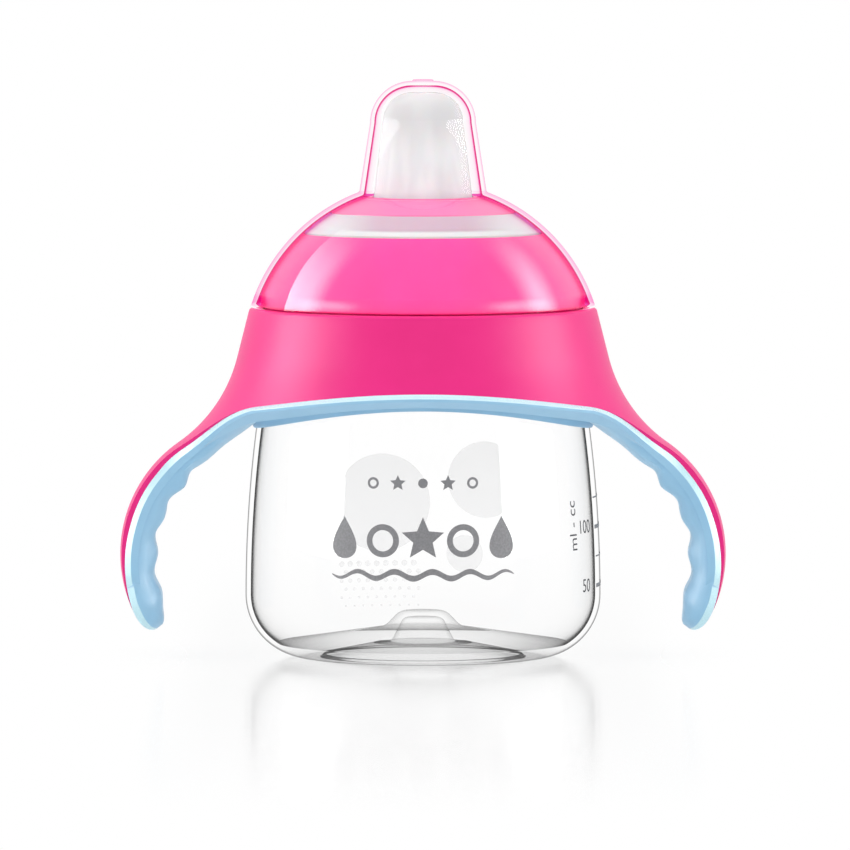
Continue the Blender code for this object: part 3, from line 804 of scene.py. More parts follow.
@dataclass(frozen=True)
class Cup:
    """Clear cup with a domed dimple in its floor, a plain neck and a thread."""

    foot_radius: float = 0.0241
    foot_width: float = 0.0025
    heel_radius: float = 0.0132
    side_radius: float = 0.273
    wall: float = 0.0011
    floor_wall: float = 0.0014
    floor_rise: float = 0.0050
    dimple_radius: float = 0.0080
    dimple_taper: float = 0.0032
    dimple_height: float = 0.0033
    floor_turn: float = math.radians(32)
    hollow_radius: float = 0.0101
    hollow_z: float = 0.0029
    shoulder_z: float = 0.0575
    shoulder_round: float = 0.0015
    neck_radius: float = 0.030582
    neck_wall: float = 0.0015
    rim_z: float = 0.0760
    rim_round: float = 0.0005
    steps: int = 160
    thread_pitch: float = 0.0040
    thread_height: float = 0.00055
    thread_start: float = 0.0632
    thread_turns: float = 1.6
    # The two below paint shade: darker lines at the hollow's mouth and at the foot's inner edge.
    mouth_painted_shade: float = 0.10
    foot_painted_shade: float = 0.45
    lying_from: float = math.radians(50)
    lying_over: float = math.radians(35)

    @property
    def foot_inner(self) -> float:
        """Inner radius of the flat ring that the cup stands on."""
        return self.foot_radius - self.foot_width

    def radius_at(self, z: float) -> float:
        """Outer radius of the side wall at a height."""
        rise = z - self.heel_radius
        middle = self.foot_radius + self.heel_radius - self.side_radius
        return middle + math.sqrt(self.side_radius**2 - rise**2)

    def outline(self) -> list[Point2]:
        """Section of the cup.

        Returns:
            (distance, height) points from the axis under the floor round to the axis above it.
        """
        heel = (self.foot_radius, self.heel_radius)
        foot_inner, near = self.foot_inner, 0.0004
        dimple_top = self.dimple_radius - self.dimple_taper
        inset = self.floor_wall / 2
        bore = self.neck_radius - self.neck_wall
        side_top = self.shoulder_z - self.shoulder_round
        inner_top = side_top - self.floor_wall
        under = self.floor_rise + self.dimple_height
        over = under + self.floor_wall
        heel_out = arc(heel, self.heel_radius, -math.pi / 2, 0.0, 24)
        heel_in = arc(heel, self.heel_radius - self.wall, 0.0, self.floor_turn - math.pi / 2, 22)
        side = [(self.radius_at(z), z) for z in spread(self.heel_radius, side_top, 16)[1:]]
        inner = [(self.radius_at(z) - self.wall, z) for z in spread(inner_top, self.heel_radius, 14)[:-1]]
        corners: list[Corner] = [
            (0.0, under, 0.0),
            (dimple_top - inset, under, 0.0012),
            (self.dimple_radius - 2 * inset, self.hollow_z + 0.0003, 0.0006),
            (self.hollow_radius, self.hollow_z, 0.0004),
            (self.hollow_radius + near, self.hollow_z - near / 5, 0.0),
            (foot_inner - inset - near, inset + near / 5, 0.0),
            (foot_inner - inset, inset, 0.0003),
            (foot_inner, 0.0, 0.0005),
            *plain(heel_out),
            *plain(side),
            (self.radius_at(side_top) - self.shoulder_round * 0.3, self.shoulder_z - 0.0004, 0.0006),
            (self.radius_at(side_top) - self.shoulder_round, self.shoulder_z, 0.0006),
            (self.neck_radius, self.shoulder_z, 0.0004),
            (self.neck_radius, self.rim_z, self.rim_round),
            (bore, self.rim_z, self.rim_round),
            (bore, self.shoulder_z - self.floor_wall / 2, 0.0015),
            *plain(inner),
            *plain(heel_in),
            (self.dimple_radius, self.floor_rise + self.floor_wall, 0.0012),
            (dimple_top, over, 0.0014),
            (0.0, over, 0.0),
        ]
        return rounded(corners, 8)

    def build(self) -> Piece:
        """Make the cup.

        Returns:
            The cup, marked for its finish.
        """
        obj = Maker.turned("cup_shell", self.outline(), self.steps, False)
        Maker.mark(obj, Maker.INSIDE, self.inside_share)
        Maker.mark(obj, Maker.LYING, self.lying_share)
        Maker.mark(obj, Maker.DARKER, self.darker_share)
        return obj

    def inside_share(self, point: Vector) -> float:
        """Tell the wall's two sides apart.

        Args:
            point: Place on the mesh.

        Returns:
            1 on the inner side, and 0 on the outer side.
        """
        across = math.hypot(point.x, point.y)
        if point.z > self.shoulder_z:
            return float(across < self.neck_radius - self.neck_wall / 2)
        if point.z > self.heel_radius:
            return float(across < self.radius_at(point.z) - self.wall / 2)
        from_heel = math.hypot(across - self.foot_radius, point.z - self.heel_radius)
        return float(from_heel < self.heel_radius - self.wall / 2)

    def lying_share(self, point: Vector) -> float:
        """Tell the floor from the wall.

        Args:
            point: Place on the mesh.

        Returns:
            1 on the floor, and 0 on the wall.
        """
        across = math.hypot(point.x, point.y)
        turn = math.atan2(self.heel_radius - point.z, max(across - self.foot_radius, 1e-6))
        return smooth_step((turn - self.lying_from) / self.lying_over)

    def darker_share(self, point: Vector) -> float:
        """Mark painted shade on two edges under the floor.

        Args:
            point: Place on the mesh.

        Returns:
            How much darker painted shade makes the place: at the foot's inner edge and at the hollow's
            mouth.
        """
        across = math.hypot(point.x, point.y)
        at_foot = 0.0001 < point.z < 0.0009 and -0.0010 < across - self.foot_inner < 0.0001
        at_mouth = point.z < self.hollow_z + 0.0006 and -0.0034 < across - self.hollow_radius < 0.0002
        return self.foot_painted_shade * at_foot + self.mouth_painted_shade * at_mouth

    def thread(self) -> "Helix":
        """Raised thread on the neck."""
        sizes = (self.thread_height, self.thread_pitch, self.thread_start, self.thread_turns)
        return Helix(self.neck_radius, *sizes)

    def dress(self, finishes: Finishes) -> None:
        """Build the cup and its thread, and give them their looks."""
        fit_out(self.build(), Body.CUP, finishes.clear, "cup_body")
        fit_out(self.thread().build("neck_thread"), Body.CUP, finishes.clear)


@dataclass(frozen=True)
class Helix:
    """Thread ridge with tapered ends on a round wall. A negative height makes it point in."""

    radius: float
    height: float
    pitch: float
    start_z: float
    turns: float
    root_half: float = 0.00085
    crest_half: float = 0.00035
    sunk: float = 0.00008
    least: float = 0.04
    steps_per_turn: int = 72

    def build(self, name: str) -> Piece:
        """Make the ridge.

        Args:
            name: Name of the piece.

        Returns:
            The new object.
        """
        root = self.radius - math.copysign(self.sunk, self.height)
        loops = []
        for t in spread(0.0, 1.0, int(self.turns * self.steps_per_turn) + 1):
            full = max(self.least, smooth_step(min(t, 1 - t) * self.turns * 6))
            a, z = 2 * math.pi * self.turns * t, self.start_z + self.pitch * self.turns * t
            crest = self.radius + self.height * full
            section = [
                (root, z - self.root_half),
                (crest, z - self.crest_half),
                (crest, z + self.crest_half),
                (root, z + self.root_half),
            ]
            loops.append([(r * math.cos(a), r * math.sin(a), h) for r, h in section])
        bm = bmesh.new()
        Maker.loft_capped(bm, loops)
        return Maker.from_bmesh(name, bm)


# Prints on the cup


@dataclass(frozen=True)
class Print:
    """Ink printed on the cup's outer wall: a volume scale, and plain shapes on the front and the back."""

    cup: Cup
    lift: float = 0.00002
    film: float = 0.00003
    scale_angle: float = math.radians(-2.0)
    first_mark_z: float = 0.0156
    mark_step: float = 0.00615
    mark_count: int = 4
    front_z: float = 0.0275
    front_size: float = 0.0044
    front_pitch: float = 0.0084
    small_z: float = 0.0388
    mark_run: Point2 = (-0.0075, 0.0055)
    bold_half: float = 0.00042
    fine_half: float = 0.00016
    number_x: float = -0.0141
    number_size: float = 0.0040
    unit_x: float = -0.0192
    unit_size: float = 0.0039
    round_steps: int = 40
    drop_steps: int = 48
    star_points: int = 5
    line_half: float = 0.00055
    line_least: float = 0.00008
    patch_rings: tuple[float, ...] = (1.0, 0.72, 0.44, 0.18)
    bubbles: tuple[Point3, ...] = (
        (0.0090, 0.0300, 0.0105), (-0.0135, 0.0350, 0.0082), (-0.0090, 0.0190, 0.0040)
    )

    def wrap(self, name: str, bm: Mesh, angle: float) -> Piece:
        """Bend a flat film of ink, drawn in the XZ plane, onto the wall.

        Args:
            name: Name of the piece.
            bm: Flat closed mesh: X runs round the cup, Z up, and Y into the wall.
            angle: Angle round the axis, from +X, of the drawing's X = 0.

        Returns:
            The new object.
        """
        for vert in bm.verts:
            x, y, z = vert.co
            wall = self.cup.radius_at(z)
            a = angle + x / wall
            r = wall + self.lift - y
            vert.co = (r * math.cos(a), r * math.sin(a), z)
        return Maker.from_bmesh(name, bm)

    def film_between(self, bm: Mesh, first: Sequence[Point2], last: Sequence[Point2]) -> None:
        """Add a film between two lines.

        Args:
            bm: Mesh to add to.
            first: (x, z) points of the lower line.
            last: As many points of the upper line.
        """
        loops = [
            [(x, 0.0, z), (x2, 0.0, z2), (x2, -self.film, z2), (x, -self.film, z)]
            for (x, z), (x2, z2) in zip(first, last)
        ]
        Maker.loft_capped(bm, loops)

    def patch(self, bm: Mesh, outline: Sequence[Point2], centre: Point2) -> None:
        """Add a filled film, in rings about its centre so that it follows the wall.

        Args:
            bm: Mesh to add to.
            outline: (x, z) points round it.
            centre: (x, z) point that its whole outline is seen from.
        """
        layers = []
        mid_x, mid_z = centre
        for depth in (0.0, -self.film):
            rings = []
            for k in self.patch_rings:
                around = [(mid_x + (x - mid_x) * k, depth, mid_z + (z - mid_z) * k) for x, z in outline]
                rings.append([bm.verts.new(point) for point in around])
            layers.append(rings)
            for one, two in zip(rings, rings[1:]):
                for i in range(len(outline)):
                    j = (i + 1) % len(outline)
                    bm.faces.new((one[i], one[j], two[j], two[i]))
            bm.faces.new(rings[-1])
        back, front = layers[0][0], layers[1][0]
        for i in range(len(outline)):
            j = (i + 1) % len(outline)
            bm.faces.new((back[i], front[i], front[j], back[j]))

    def hoop(self, bm: Mesh, centre: Point2, outer: float, inner: float) -> None:
        """Add a printed ring with a hole in it.

        Args:
            bm: Mesh to add to.
            centre: (x, z) of its middle.
            outer: Outer radius.
            inner: Radius of the hole.
        """
        x, z = centre
        section = ((inner, 0.0), (outer, 0.0), (outer, -self.film), (inner, -self.film))
        loops = [
            [(x + r * math.cos(a), depth, z + r * math.sin(a)) for r, depth in section]
            for a in full_turn(self.round_steps)
        ]
        made = Maker.loft(bm, loops, True)
        last, first = made[-1], made[0]
        for i in range(len(section)):
            j = (i + 1) % len(section)
            bm.faces.new((last[i], first[i], first[j], last[j]))

    def disc(self, bm: Mesh, centre: Point2, radius: float, steps: int) -> None:
        """Add a printed disc.

        Args:
            bm: Mesh to add to.
            centre: (x, z) of its middle.
            radius: Its radius.
            steps: Facets round it.
        """
        outline = [
            (centre[0] + radius * math.cos(a), centre[1] + radius * math.sin(a)) for a in full_turn(steps)
        ]
        self.patch(bm, outline, centre)

    def lettering(self, bm: Mesh, words: str, size: float, centre: Point2, upright: bool) -> None:
        """Add numbers or a unit.

        Args:
            bm: Mesh to add to.
            words: What it says.
            size: Height of the type.
            centre: (x, z) of its middle.
            upright: False for words that run up the cup.
        """
        curve = bpy.data.curves.new("type", "FONT")
        curve.body = words
        curve.extrude = 0.5
        curve.resolution_u = 4
        curve.align_x, curve.align_y = "CENTER", "CENTER"
        holder = bpy.data.objects.new("type", curve)
        bpy.context.scene.collection.objects.link(holder)
        bpy.context.view_layer.update()
        graph = bpy.context.evaluated_depsgraph_get()
        mesh = bpy.data.meshes.new_from_object(holder.evaluated_get(graph))
        flat = bmesh.new()
        flat.from_mesh(mesh)
        bmesh.ops.remove_doubles(flat, verts=flat.verts, dist=1e-4)
        for vert in flat.verts:
            x, z = (vert.co.x, vert.co.y) if upright else (-vert.co.y, vert.co.x)
            vert.co = (centre[0] + size * x, -self.film * (vert.co.z + 0.5), centre[1] + size * z)
        flat.to_mesh(mesh)
        flat.free()
        bm.from_mesh(mesh)
        bpy.data.objects.remove(holder)
        bpy.data.curves.remove(curve)
        bpy.data.meshes.remove(mesh)

    def build_marks(self) -> Piece:
        """Make the volume marks at the side of the cup, every other one bold.

        Returns:
            The new object.
        """
        bm = bmesh.new()
        run = spread(*self.mark_run, 27)
        for i in range(self.mark_count):
            z = self.first_mark_z + self.mark_step * i
            half = self.fine_half if i % 2 else self.bold_half
            self.film_between(bm, [(x, z - half) for x in run], [(x, z + half) for x in run])
        return self.wrap("volume_marks", bm, self.scale_angle)

    def build_numbers(self) -> Piece:
        """Make the numbers and the unit beside the volume marks.

        Returns:
            The new object.
        """
        bm = bmesh.new()
        low, high = self.first_mark_z + 0.0003, self.first_mark_z + 2 * self.mark_step + 0.0003
        self.lettering(bm, "50", self.number_size, (self.number_x, low), True)
        self.lettering(bm, "100", self.number_size, (self.number_x, high), True)
        self.lettering(bm, "ml - cc", self.unit_size, (self.unit_x, high + 0.0006), False)
        return self.wrap("volume_numbers", bm, self.scale_angle)

    def drop(self, bm: Mesh, centre: Point2, size: float) -> None:
        """Add a printed water drop.

        Args:
            bm: Mesh to add to.
            centre: (x, z) of its middle.
            size: Half its height.
        """
        outline = []
        for a in full_turn(self.drop_steps):
            width = 0.86 * math.sin(a) * math.sin(a / 2) ** 1.4
            outline.append((centre[0] + size * width, centre[1] + size * math.cos(a)))
        self.patch(bm, outline, (centre[0], centre[1] - 0.35 * size))

    def star(self, bm: Mesh, centre: Point2, outer: float, inner: float) -> None:
        """Add a printed star.

        Args:
            bm: Mesh to add to.
            centre: (x, z) of its middle.
            outer: Radius of its points.
            inner: Radius between them.
        """
        outline = []
        for i in range(2 * self.star_points):
            a = math.pi / 2 + math.pi * i / self.star_points
            reach = outer if i % 2 == 0 else inner
            outline.append((centre[0] + reach * math.cos(a), centre[1] + reach * math.sin(a)))
        self.patch(bm, outline, centre)

    def wave(self, bm: Mesh, centre: Point2, half: float, height: float, waves: float) -> None:
        """Add a printed wavy line, thinner towards its ends.

        Args:
            bm: Mesh to add to.
            centre: (x, z) of its middle.
            half: Half its length.
            height: Height of a wave.
            waves: Number of waves.
        """
        low, high = [], []
        for t in spread(-1.0, 1.0, 97):
            x, z = centre[0] + half * t, centre[1] + height * math.sin(math.pi * waves * t)
            thick = self.line_half * math.sqrt(max(0.0, 1 - t**2)) + self.line_least
            low.append((x, z - thick))
            high.append((x, z + thick))
        self.film_between(bm, low, high)

    def build_front(self) -> Piece:
        """Make the row of drops, rings and stars over a wavy line, on the front.

        Returns:
            The new object.
        """
        bm = bmesh.new()
        row_z, size = self.front_z, self.front_size
        for side in (-1, 1):
            self.drop(bm, (side * 2 * self.front_pitch, row_z), size)
            self.hoop(bm, (side * self.front_pitch, row_z - 0.0006), size * 0.78, size * 0.50)
            self.star(bm, (side * 0.62 * self.front_pitch, self.small_z), 0.0017, 0.0008)
            self.hoop(bm, (side * 1.24 * self.front_pitch, self.small_z), 0.0012, 0.0007)
        self.star(bm, (0.0, row_z - 0.0003), size * 1.05, size * 0.48)
        self.disc(bm, (0.0, self.small_z), 0.0010, self.round_steps)
        self.wave(bm, (0.0, row_z - 1.75 * size), 2.35 * self.front_pitch, 0.0007, 5.0)
        return self.wrap("front_print", bm, -math.pi / 2)

    def build_back(self) -> Piece:
        """Make the pale bubbles on the back, seen through the cup, with a field of small dots.

        Returns:
            The new object.
        """
        bm = bmesh.new()
        for x, z, radius in self.bubbles:
            self.disc(bm, (x, z), radius, 64)
        for row in range(6):
            for column in range(9):
                x = 0.0180 - 0.0020 * column - 0.0010 * (row % 2)
                self.disc(bm, (x, 0.0170 - 0.0018 * row), 0.00065 - 0.00008 * row, 12)
        return self.wrap("back_print", bm, math.pi / 2)

    def dress(self, finishes: Finishes) -> None:
        """Build the prints and give them their inks.

        Args:
            finishes: Materials of the cup.
        """
        fit_out(self.build_marks(), Body.CUP, finishes.grey_ink)
        fit_out(self.build_numbers(), Body.CUP, finishes.dark_ink)
        fit_out(self.build_front(), Body.CUP, finishes.grey_ink)
        fit_out(self.build_back(), Body.CUP, finishes.pale_ink)


# The lid


@dataclass(frozen=True)
class LidSphere:
    """Sphere that ring, band, collar and cap follow."""

    centre_z: float = 0.06212
    radius: float = 0.036783
    land_z: float = 0.0736
    land_radius: float = 0.033982
    opening: float = 0.0250
    collar_radius: float = 0.019482
    clearance: float = 0.0003

    def height(self, radius: float, distance: float) -> float:
        """Height of a concentric sphere at a distance from the axis."""
        return self.centre_z + math.sqrt(radius**2 - distance**2)

    def run(self, radius: float, first: float, last: float, count: int) -> list[Point2]:
        """Points on a concentric sphere between two distances from the axis."""
        start, end = math.acos(first / radius), math.acos(last / radius)
        return arc((0.0, self.centre_z), radius, start, end, count)


@dataclass(frozen=True)
class ScrewRing:
    """Domed ring with a threaded skirt."""

    sphere: LidSphere
    skirt_inner: float = 0.031782
    skirt_outer: float = 0.032982
    skirt_depth: float = 0.0136
    wall: float = 0.0017
    clamp_radius: float = 0.029982
    clamp_z: float = 0.0781
    thread_height: float = 0.0006
    steps: int = 128

    def build(self) -> Piece:
        """Make the ring.

        Returns:
            The new object.
        """
        s = self.sphere
        land_top = s.run(s.radius, s.opening, s.land_radius, 20)
        under = s.run(s.radius - self.wall, self.clamp_radius, s.opening, 8)
        foot = s.land_z - self.skirt_depth
        corners: list[Corner] = [
            *plain(land_top[1:]),
            (s.land_radius, s.land_z, 0.0003),
            (self.skirt_outer, s.land_z, 0.0002),
            (self.skirt_outer, foot, 0.0004),
            (self.skirt_inner, foot, 0.0003),
            (self.skirt_inner, self.clamp_z, 0.0002),
            (self.clamp_radius, self.clamp_z, 0.0002),
            *plain(under[:-1]),
            (*under[-1], 0.0003),
            (*land_top[0], 0.0003),
            (*land_top[1], 0.0),
        ]
        return Maker.turned("screw_ring_domed", rounded(corners, 4)[:-1], self.steps, True)

    def thread(self, cup: Cup) -> Helix:
        """Thread inside the skirt, half a pitch off the neck's."""
        start = cup.thread_start + cup.thread_pitch * 0.5
        return Helix(self.skirt_inner, -self.thread_height, cup.thread_pitch, start, cup.thread_turns)

    def dress(self, finishes: Finishes, cup: Cup) -> None:
        """Build the ring and its thread, and give them their looks."""
        fit_out(self.build(), Body.RING, finishes.pink_gloss, "screw_ring")
        fit_out(self.thread(cup).build("ring_thread"), Body.RING, finishes.pink_gloss)


@dataclass(frozen=True)
class Spout:
    """Soft spout with its milky band and flange, and the collar round its foot."""

    sphere: LidSphere
    ring: ScrewRing
    wall: float = 0.0016
    nozzle_wall: float = 0.0013
    collar_thickness: float = 0.0012
    collar_flat_z: float = 0.09635
    lip_width: float = 0.0008
    lip_height: float = 0.0003
    foot_radius: float = 0.01045
    top: float = 0.118553
    tip_radius: float = 0.0084
    tip_round: float = 0.0060
    tip_dish: float = 0.0004
    tip_oval: float = 0.72
    oval_from: float = 0.6
    socket_radius: float = 0.0084
    socket_wall: float = 0.0015
    socket_depth: float = 0.0098
    flange_z: float = 0.0763
    flange_thickness: float = 0.00145
    flange_bore: float = 0.027982
    tier: float = 0.0236
    tier_groove: float = 0.00022
    tier_half: float = 0.0005
    hole_radius: float = 0.0008
    hole_pitch: float = 0.0026
    hole_depth: float = 0.008
    hole_sides: int = 24
    steps: int = 128

    @property
    def seat(self) -> float:
        """Radius of the sphere under the collar."""
        return self.sphere.radius - self.collar_thickness - self.sphere.clearance

    @property
    def foot_z(self) -> float:
        """Height at which the nozzle leaves the dome."""
        return self.sphere.height(self.seat, self.foot_radius)

    def grooved(self, point: Point2) -> Point2:
        """Sink a point of the band where the groove between its tiers runs.

        Args:
            point: (distance, height) on the band.

        Returns:
            The point in its place.
        """
        r, z = point
        share = self.tier_groove / self.sphere.radius * max(0.0, 1 - abs(r - self.tier) / self.tier_half)
        return r - r * share, z - (z - self.sphere.centre_z) * share

    def outline(self) -> list[Point2]:
        """Section of the spout.

        Returns:
            (distance, height) points from the tip's middle down the outside and up the inside.
        """
        s = self.sphere
        under_ring = s.radius - self.ring.wall - s.clearance
        band_edge = s.opening - s.clearance
        shoulder = self.ring.clamp_radius - s.clearance
        rim = self.ring.skirt_inner - s.clearance
        crown = (self.tip_radius - self.tip_round, self.top - self.tip_round)
        socket_top = self.foot_z - self.nozzle_wall
        socket_z = socket_top - self.socket_depth
        socket_outer = self.socket_radius + self.socket_wall
        crown_out = arc(crown, self.tip_round, math.pi / 2, 0.0, 18)
        crown_in = arc(crown, self.tip_round - self.nozzle_wall, 0.0, math.pi / 2, 12)
        band = s.run(s.radius, s.collar_radius, band_edge, 22)
        corners: list[Corner] = [
            (0.0, self.top - self.tip_dish, 0.0),
            (crown[0] * 0.45, self.top - self.tip_dish * 0.75, 0.0006),
            *plain(crown_out),
            (self.foot_radius, self.foot_z, 0.0008),
            *plain(s.run(self.seat, self.foot_radius + 0.0012, s.collar_radius, 8)),
            *plain(self.grooved(point) for point in band),
            (band_edge, s.height(under_ring, band_edge), 0.0),
            *plain(s.run(under_ring, band_edge, shoulder, 5)[1:]),
            (shoulder, self.flange_z + self.flange_thickness, 0.0002),
            (rim, self.flange_z + self.flange_thickness, 0.0002),
            (rim, self.flange_z, 0.0002),
            (self.flange_bore, self.flange_z, 0.0002),
            *plain(s.run(under_ring - self.wall, self.flange_bore, socket_outer, 12)),
            (socket_outer, socket_z, 0.0003),
            (self.socket_radius, socket_z, 0.0003),
            (self.socket_radius, socket_top, 0.0004),
            (self.foot_radius - self.nozzle_wall, self.foot_z, 0.0006),
            *plain(crown_in),
            (0.0, self.top - self.tip_dish - self.nozzle_wall, 0.0),
        ]
        return rounded(corners, 5)

    def build(self) -> Piece:
        """Make the spout, oval towards its tip and pierced there.

        Returns:
            The new object.
        """
        obj = Maker.turned("spout_soft", self.outline(), self.steps, False)
        span = self.top - self.foot_z
        for vert in obj.data.vertices:
            above = (vert.co.z - self.foot_z) / span
            vert.co.y *= 1 - (1 - self.tip_oval) * smooth_step(above / self.oval_from)
        places = [(x, 0.0, self.top) for x in (-self.hole_pitch, 0.0, self.hole_pitch)]
        Maker.drill(obj, places, self.hole_radius, self.hole_depth, self.hole_sides)
        return obj

    def build_collar(self) -> Piece:
        """Make the collar.

        Returns:
            The new object.
        """
        s = self.sphere
        hole, edge = self.foot_radius + s.clearance, s.collar_radius - s.clearance
        lip_edge = hole + self.lip_width
        dome = s.run(s.radius, lip_edge + self.lip_height, edge, 28)
        over = [(r, min(z, self.collar_flat_z)) for r, z in dome]
        lip_z = self.collar_flat_z + self.lip_height
        below = s.run(s.radius - self.collar_thickness, edge, hole, 8)
        corners: list[Corner] = [
            *plain(over[1:-1]),
            (*over[-1], 0.0003),
            (*below[0], 0.0002),
            *plain(below[1:-1]),
            (*below[-1], 0.0001),
            (hole, lip_z, 0.0001),
            (lip_edge, lip_z, 0.0001),
            (*over[0], 0.0001),
            (*over[1], 0.0),
        ]
        return Maker.turned("spout_collar_ring", rounded(corners, 4)[:-1], self.steps, True)

    def dress(self, finishes: Finishes) -> None:
        """Build the spout and its collar, and give them their looks."""
        fit_out(self.build(), Body.SPOUT_UNIT, finishes.milky, "spout")
        fit_out(self.build_collar(), Body.SPOUT_UNIT, finishes.collar, "spout_collar")


@dataclass(frozen=True)
class Cap:
    """Clear cap over lid and spout."""

    sphere: LidSphere
    wall: float = 0.0009
    foot_radius: float = 0.01335
    top: float = 0.120953
    top_radius: float = 0.0111
    crown_round: float = 0.0088
    gate_radius: float = 0.0021
    gate_height: float = 0.0003
    gate_tint: float = 0.95
    rim_edge: float = 0.0006
    # rim_tint_and_shade deepens the pink along the rim: partly the thicker lip's own tint, partly painted
    # shade where the cap sits on the ring.
    rim_tint_and_shade: float = 0.13
    rim_band: float = 0.0020
    rim_fade: float = 0.0010
    waist_round: float = 0.0009
    steps: int = 160

    @property
    def inner(self) -> float:
        """Radius of the dome's inner side."""
        return self.sphere.radius + self.sphere.clearance

    @property
    def crown(self) -> Point2:
        """Middle of the rounding between the side and the top."""
        return self.top_radius - self.crown_round, self.top - self.crown_round

    @property
    def waist_z(self) -> float:
        """Height at which the side leaves the dome."""
        return self.sphere.height(self.inner + self.wall, self.foot_radius)

    def outline(self) -> list[Point2]:
        """Section of the cap.

        Returns:
            (distance, height) points from the top's middle down the outside and up the inside.
        """
        s, inner, crown = self.sphere, self.inner, self.crown
        outer = inner + self.wall
        rim_bore = s.land_radius + s.clearance
        rim = math.sqrt(outer**2 - (s.land_z - s.centre_z) ** 2)
        crown_out = arc(crown, self.crown_round, math.pi / 2, 0.0, 24)
        crown_in = arc(crown, self.crown_round - self.wall, 0.0, math.pi / 2, 22)
        dome_out = s.run(outer, self.foot_radius, rim, 44)
        dome_in = s.run(inner, rim_bore, self.foot_radius - self.wall, 42)
        rim_up = s.land_z + self.rim_edge
        corners: list[Corner] = [
            (0.0, self.top + self.gate_height, 0.0),
            (self.gate_radius, self.top + self.gate_height, 0.0002),
            (self.gate_radius + 0.0002, self.top, 0.0001),
            *plain(crown_out[1:]),
            (*dome_out[0], self.waist_round),
            *plain(dome_out[1:-1]),
            (math.sqrt(outer**2 - (rim_up - s.centre_z) ** 2), rim_up, 0.0),
            (*dome_out[-1], 0.0002),
            (rim_bore, s.land_z, 0.0002),
            (math.sqrt(inner**2 - (rim_up - s.centre_z) ** 2), rim_up, 0.0),
            *plain(dome_in[1:-1]),
            (*dome_in[-1], self.waist_round),
            *plain(crown_in),
            (0.0, self.top - self.wall, 0.0),
        ]
        return rounded(corners, 6)

    def build(self) -> Piece:
        """Make the cap.

        Returns:
            The cap, marked for its finish.
        """
        obj = Maker.turned("cap_shell", self.outline(), self.steps, False)
        Maker.mark(obj, Maker.INSIDE, self.inside_share)
        Maker.mark(obj, Maker.LYING, self.lying_share)
        Maker.mark(obj, Maker.DARKER, self.darker_share)
        return obj

    def inside_share(self, point: Vector) -> float:
        """Tell the cap's two sides apart.

        Args:
            point: Place on the mesh.

        Returns:
            1 on the inner side, and 0 on the outer side.
        """
        across, half = math.hypot(point.x, point.y), self.wall / 2
        crown_r, crown_z = self.crown
        if point.z > crown_z:
            reach = math.hypot(max(across - crown_r, 0.0), point.z - crown_z)
            return float(reach < self.crown_round - half)
        if point.z > self.waist_z:
            slope = (self.foot_radius - self.top_radius) / (self.waist_z - crown_z)
            return float(across < self.top_radius + slope * (point.z - crown_z) - half)
        return float(math.hypot(across, point.z - self.sphere.centre_z) < self.inner + half)

    def lying_share(self, point: Vector) -> float:
        """1 on the flat foot of the rim, and 0 elsewhere."""
        return float(point.z < self.sphere.land_z + self.rim_edge / 2)

    def darker_share(self, point: Vector) -> float:
        """Find where the cap's tint deepens: at the thicker gate mark, and along the thicker rim, where
        painted shade is added.

        Args:
            point: Place on the mesh.

        Returns:
            How much darker the place looks.
        """
        across = math.hypot(point.x, point.y)
        if point.z > self.top + self.gate_height / 2 and across > self.gate_radius / 2:
            return self.gate_tint
        above_band = point.z - self.sphere.land_z - self.rim_band
        return self.rim_tint_and_shade * (1 - smooth_step(above_band / self.rim_fade))

    def dress(self, finishes: Finishes) -> None:
        """Build the cap and give it its look."""
        fit_out(self.build(), Body.CAP, finishes.tinted, "hygiene_cap")


# The valve


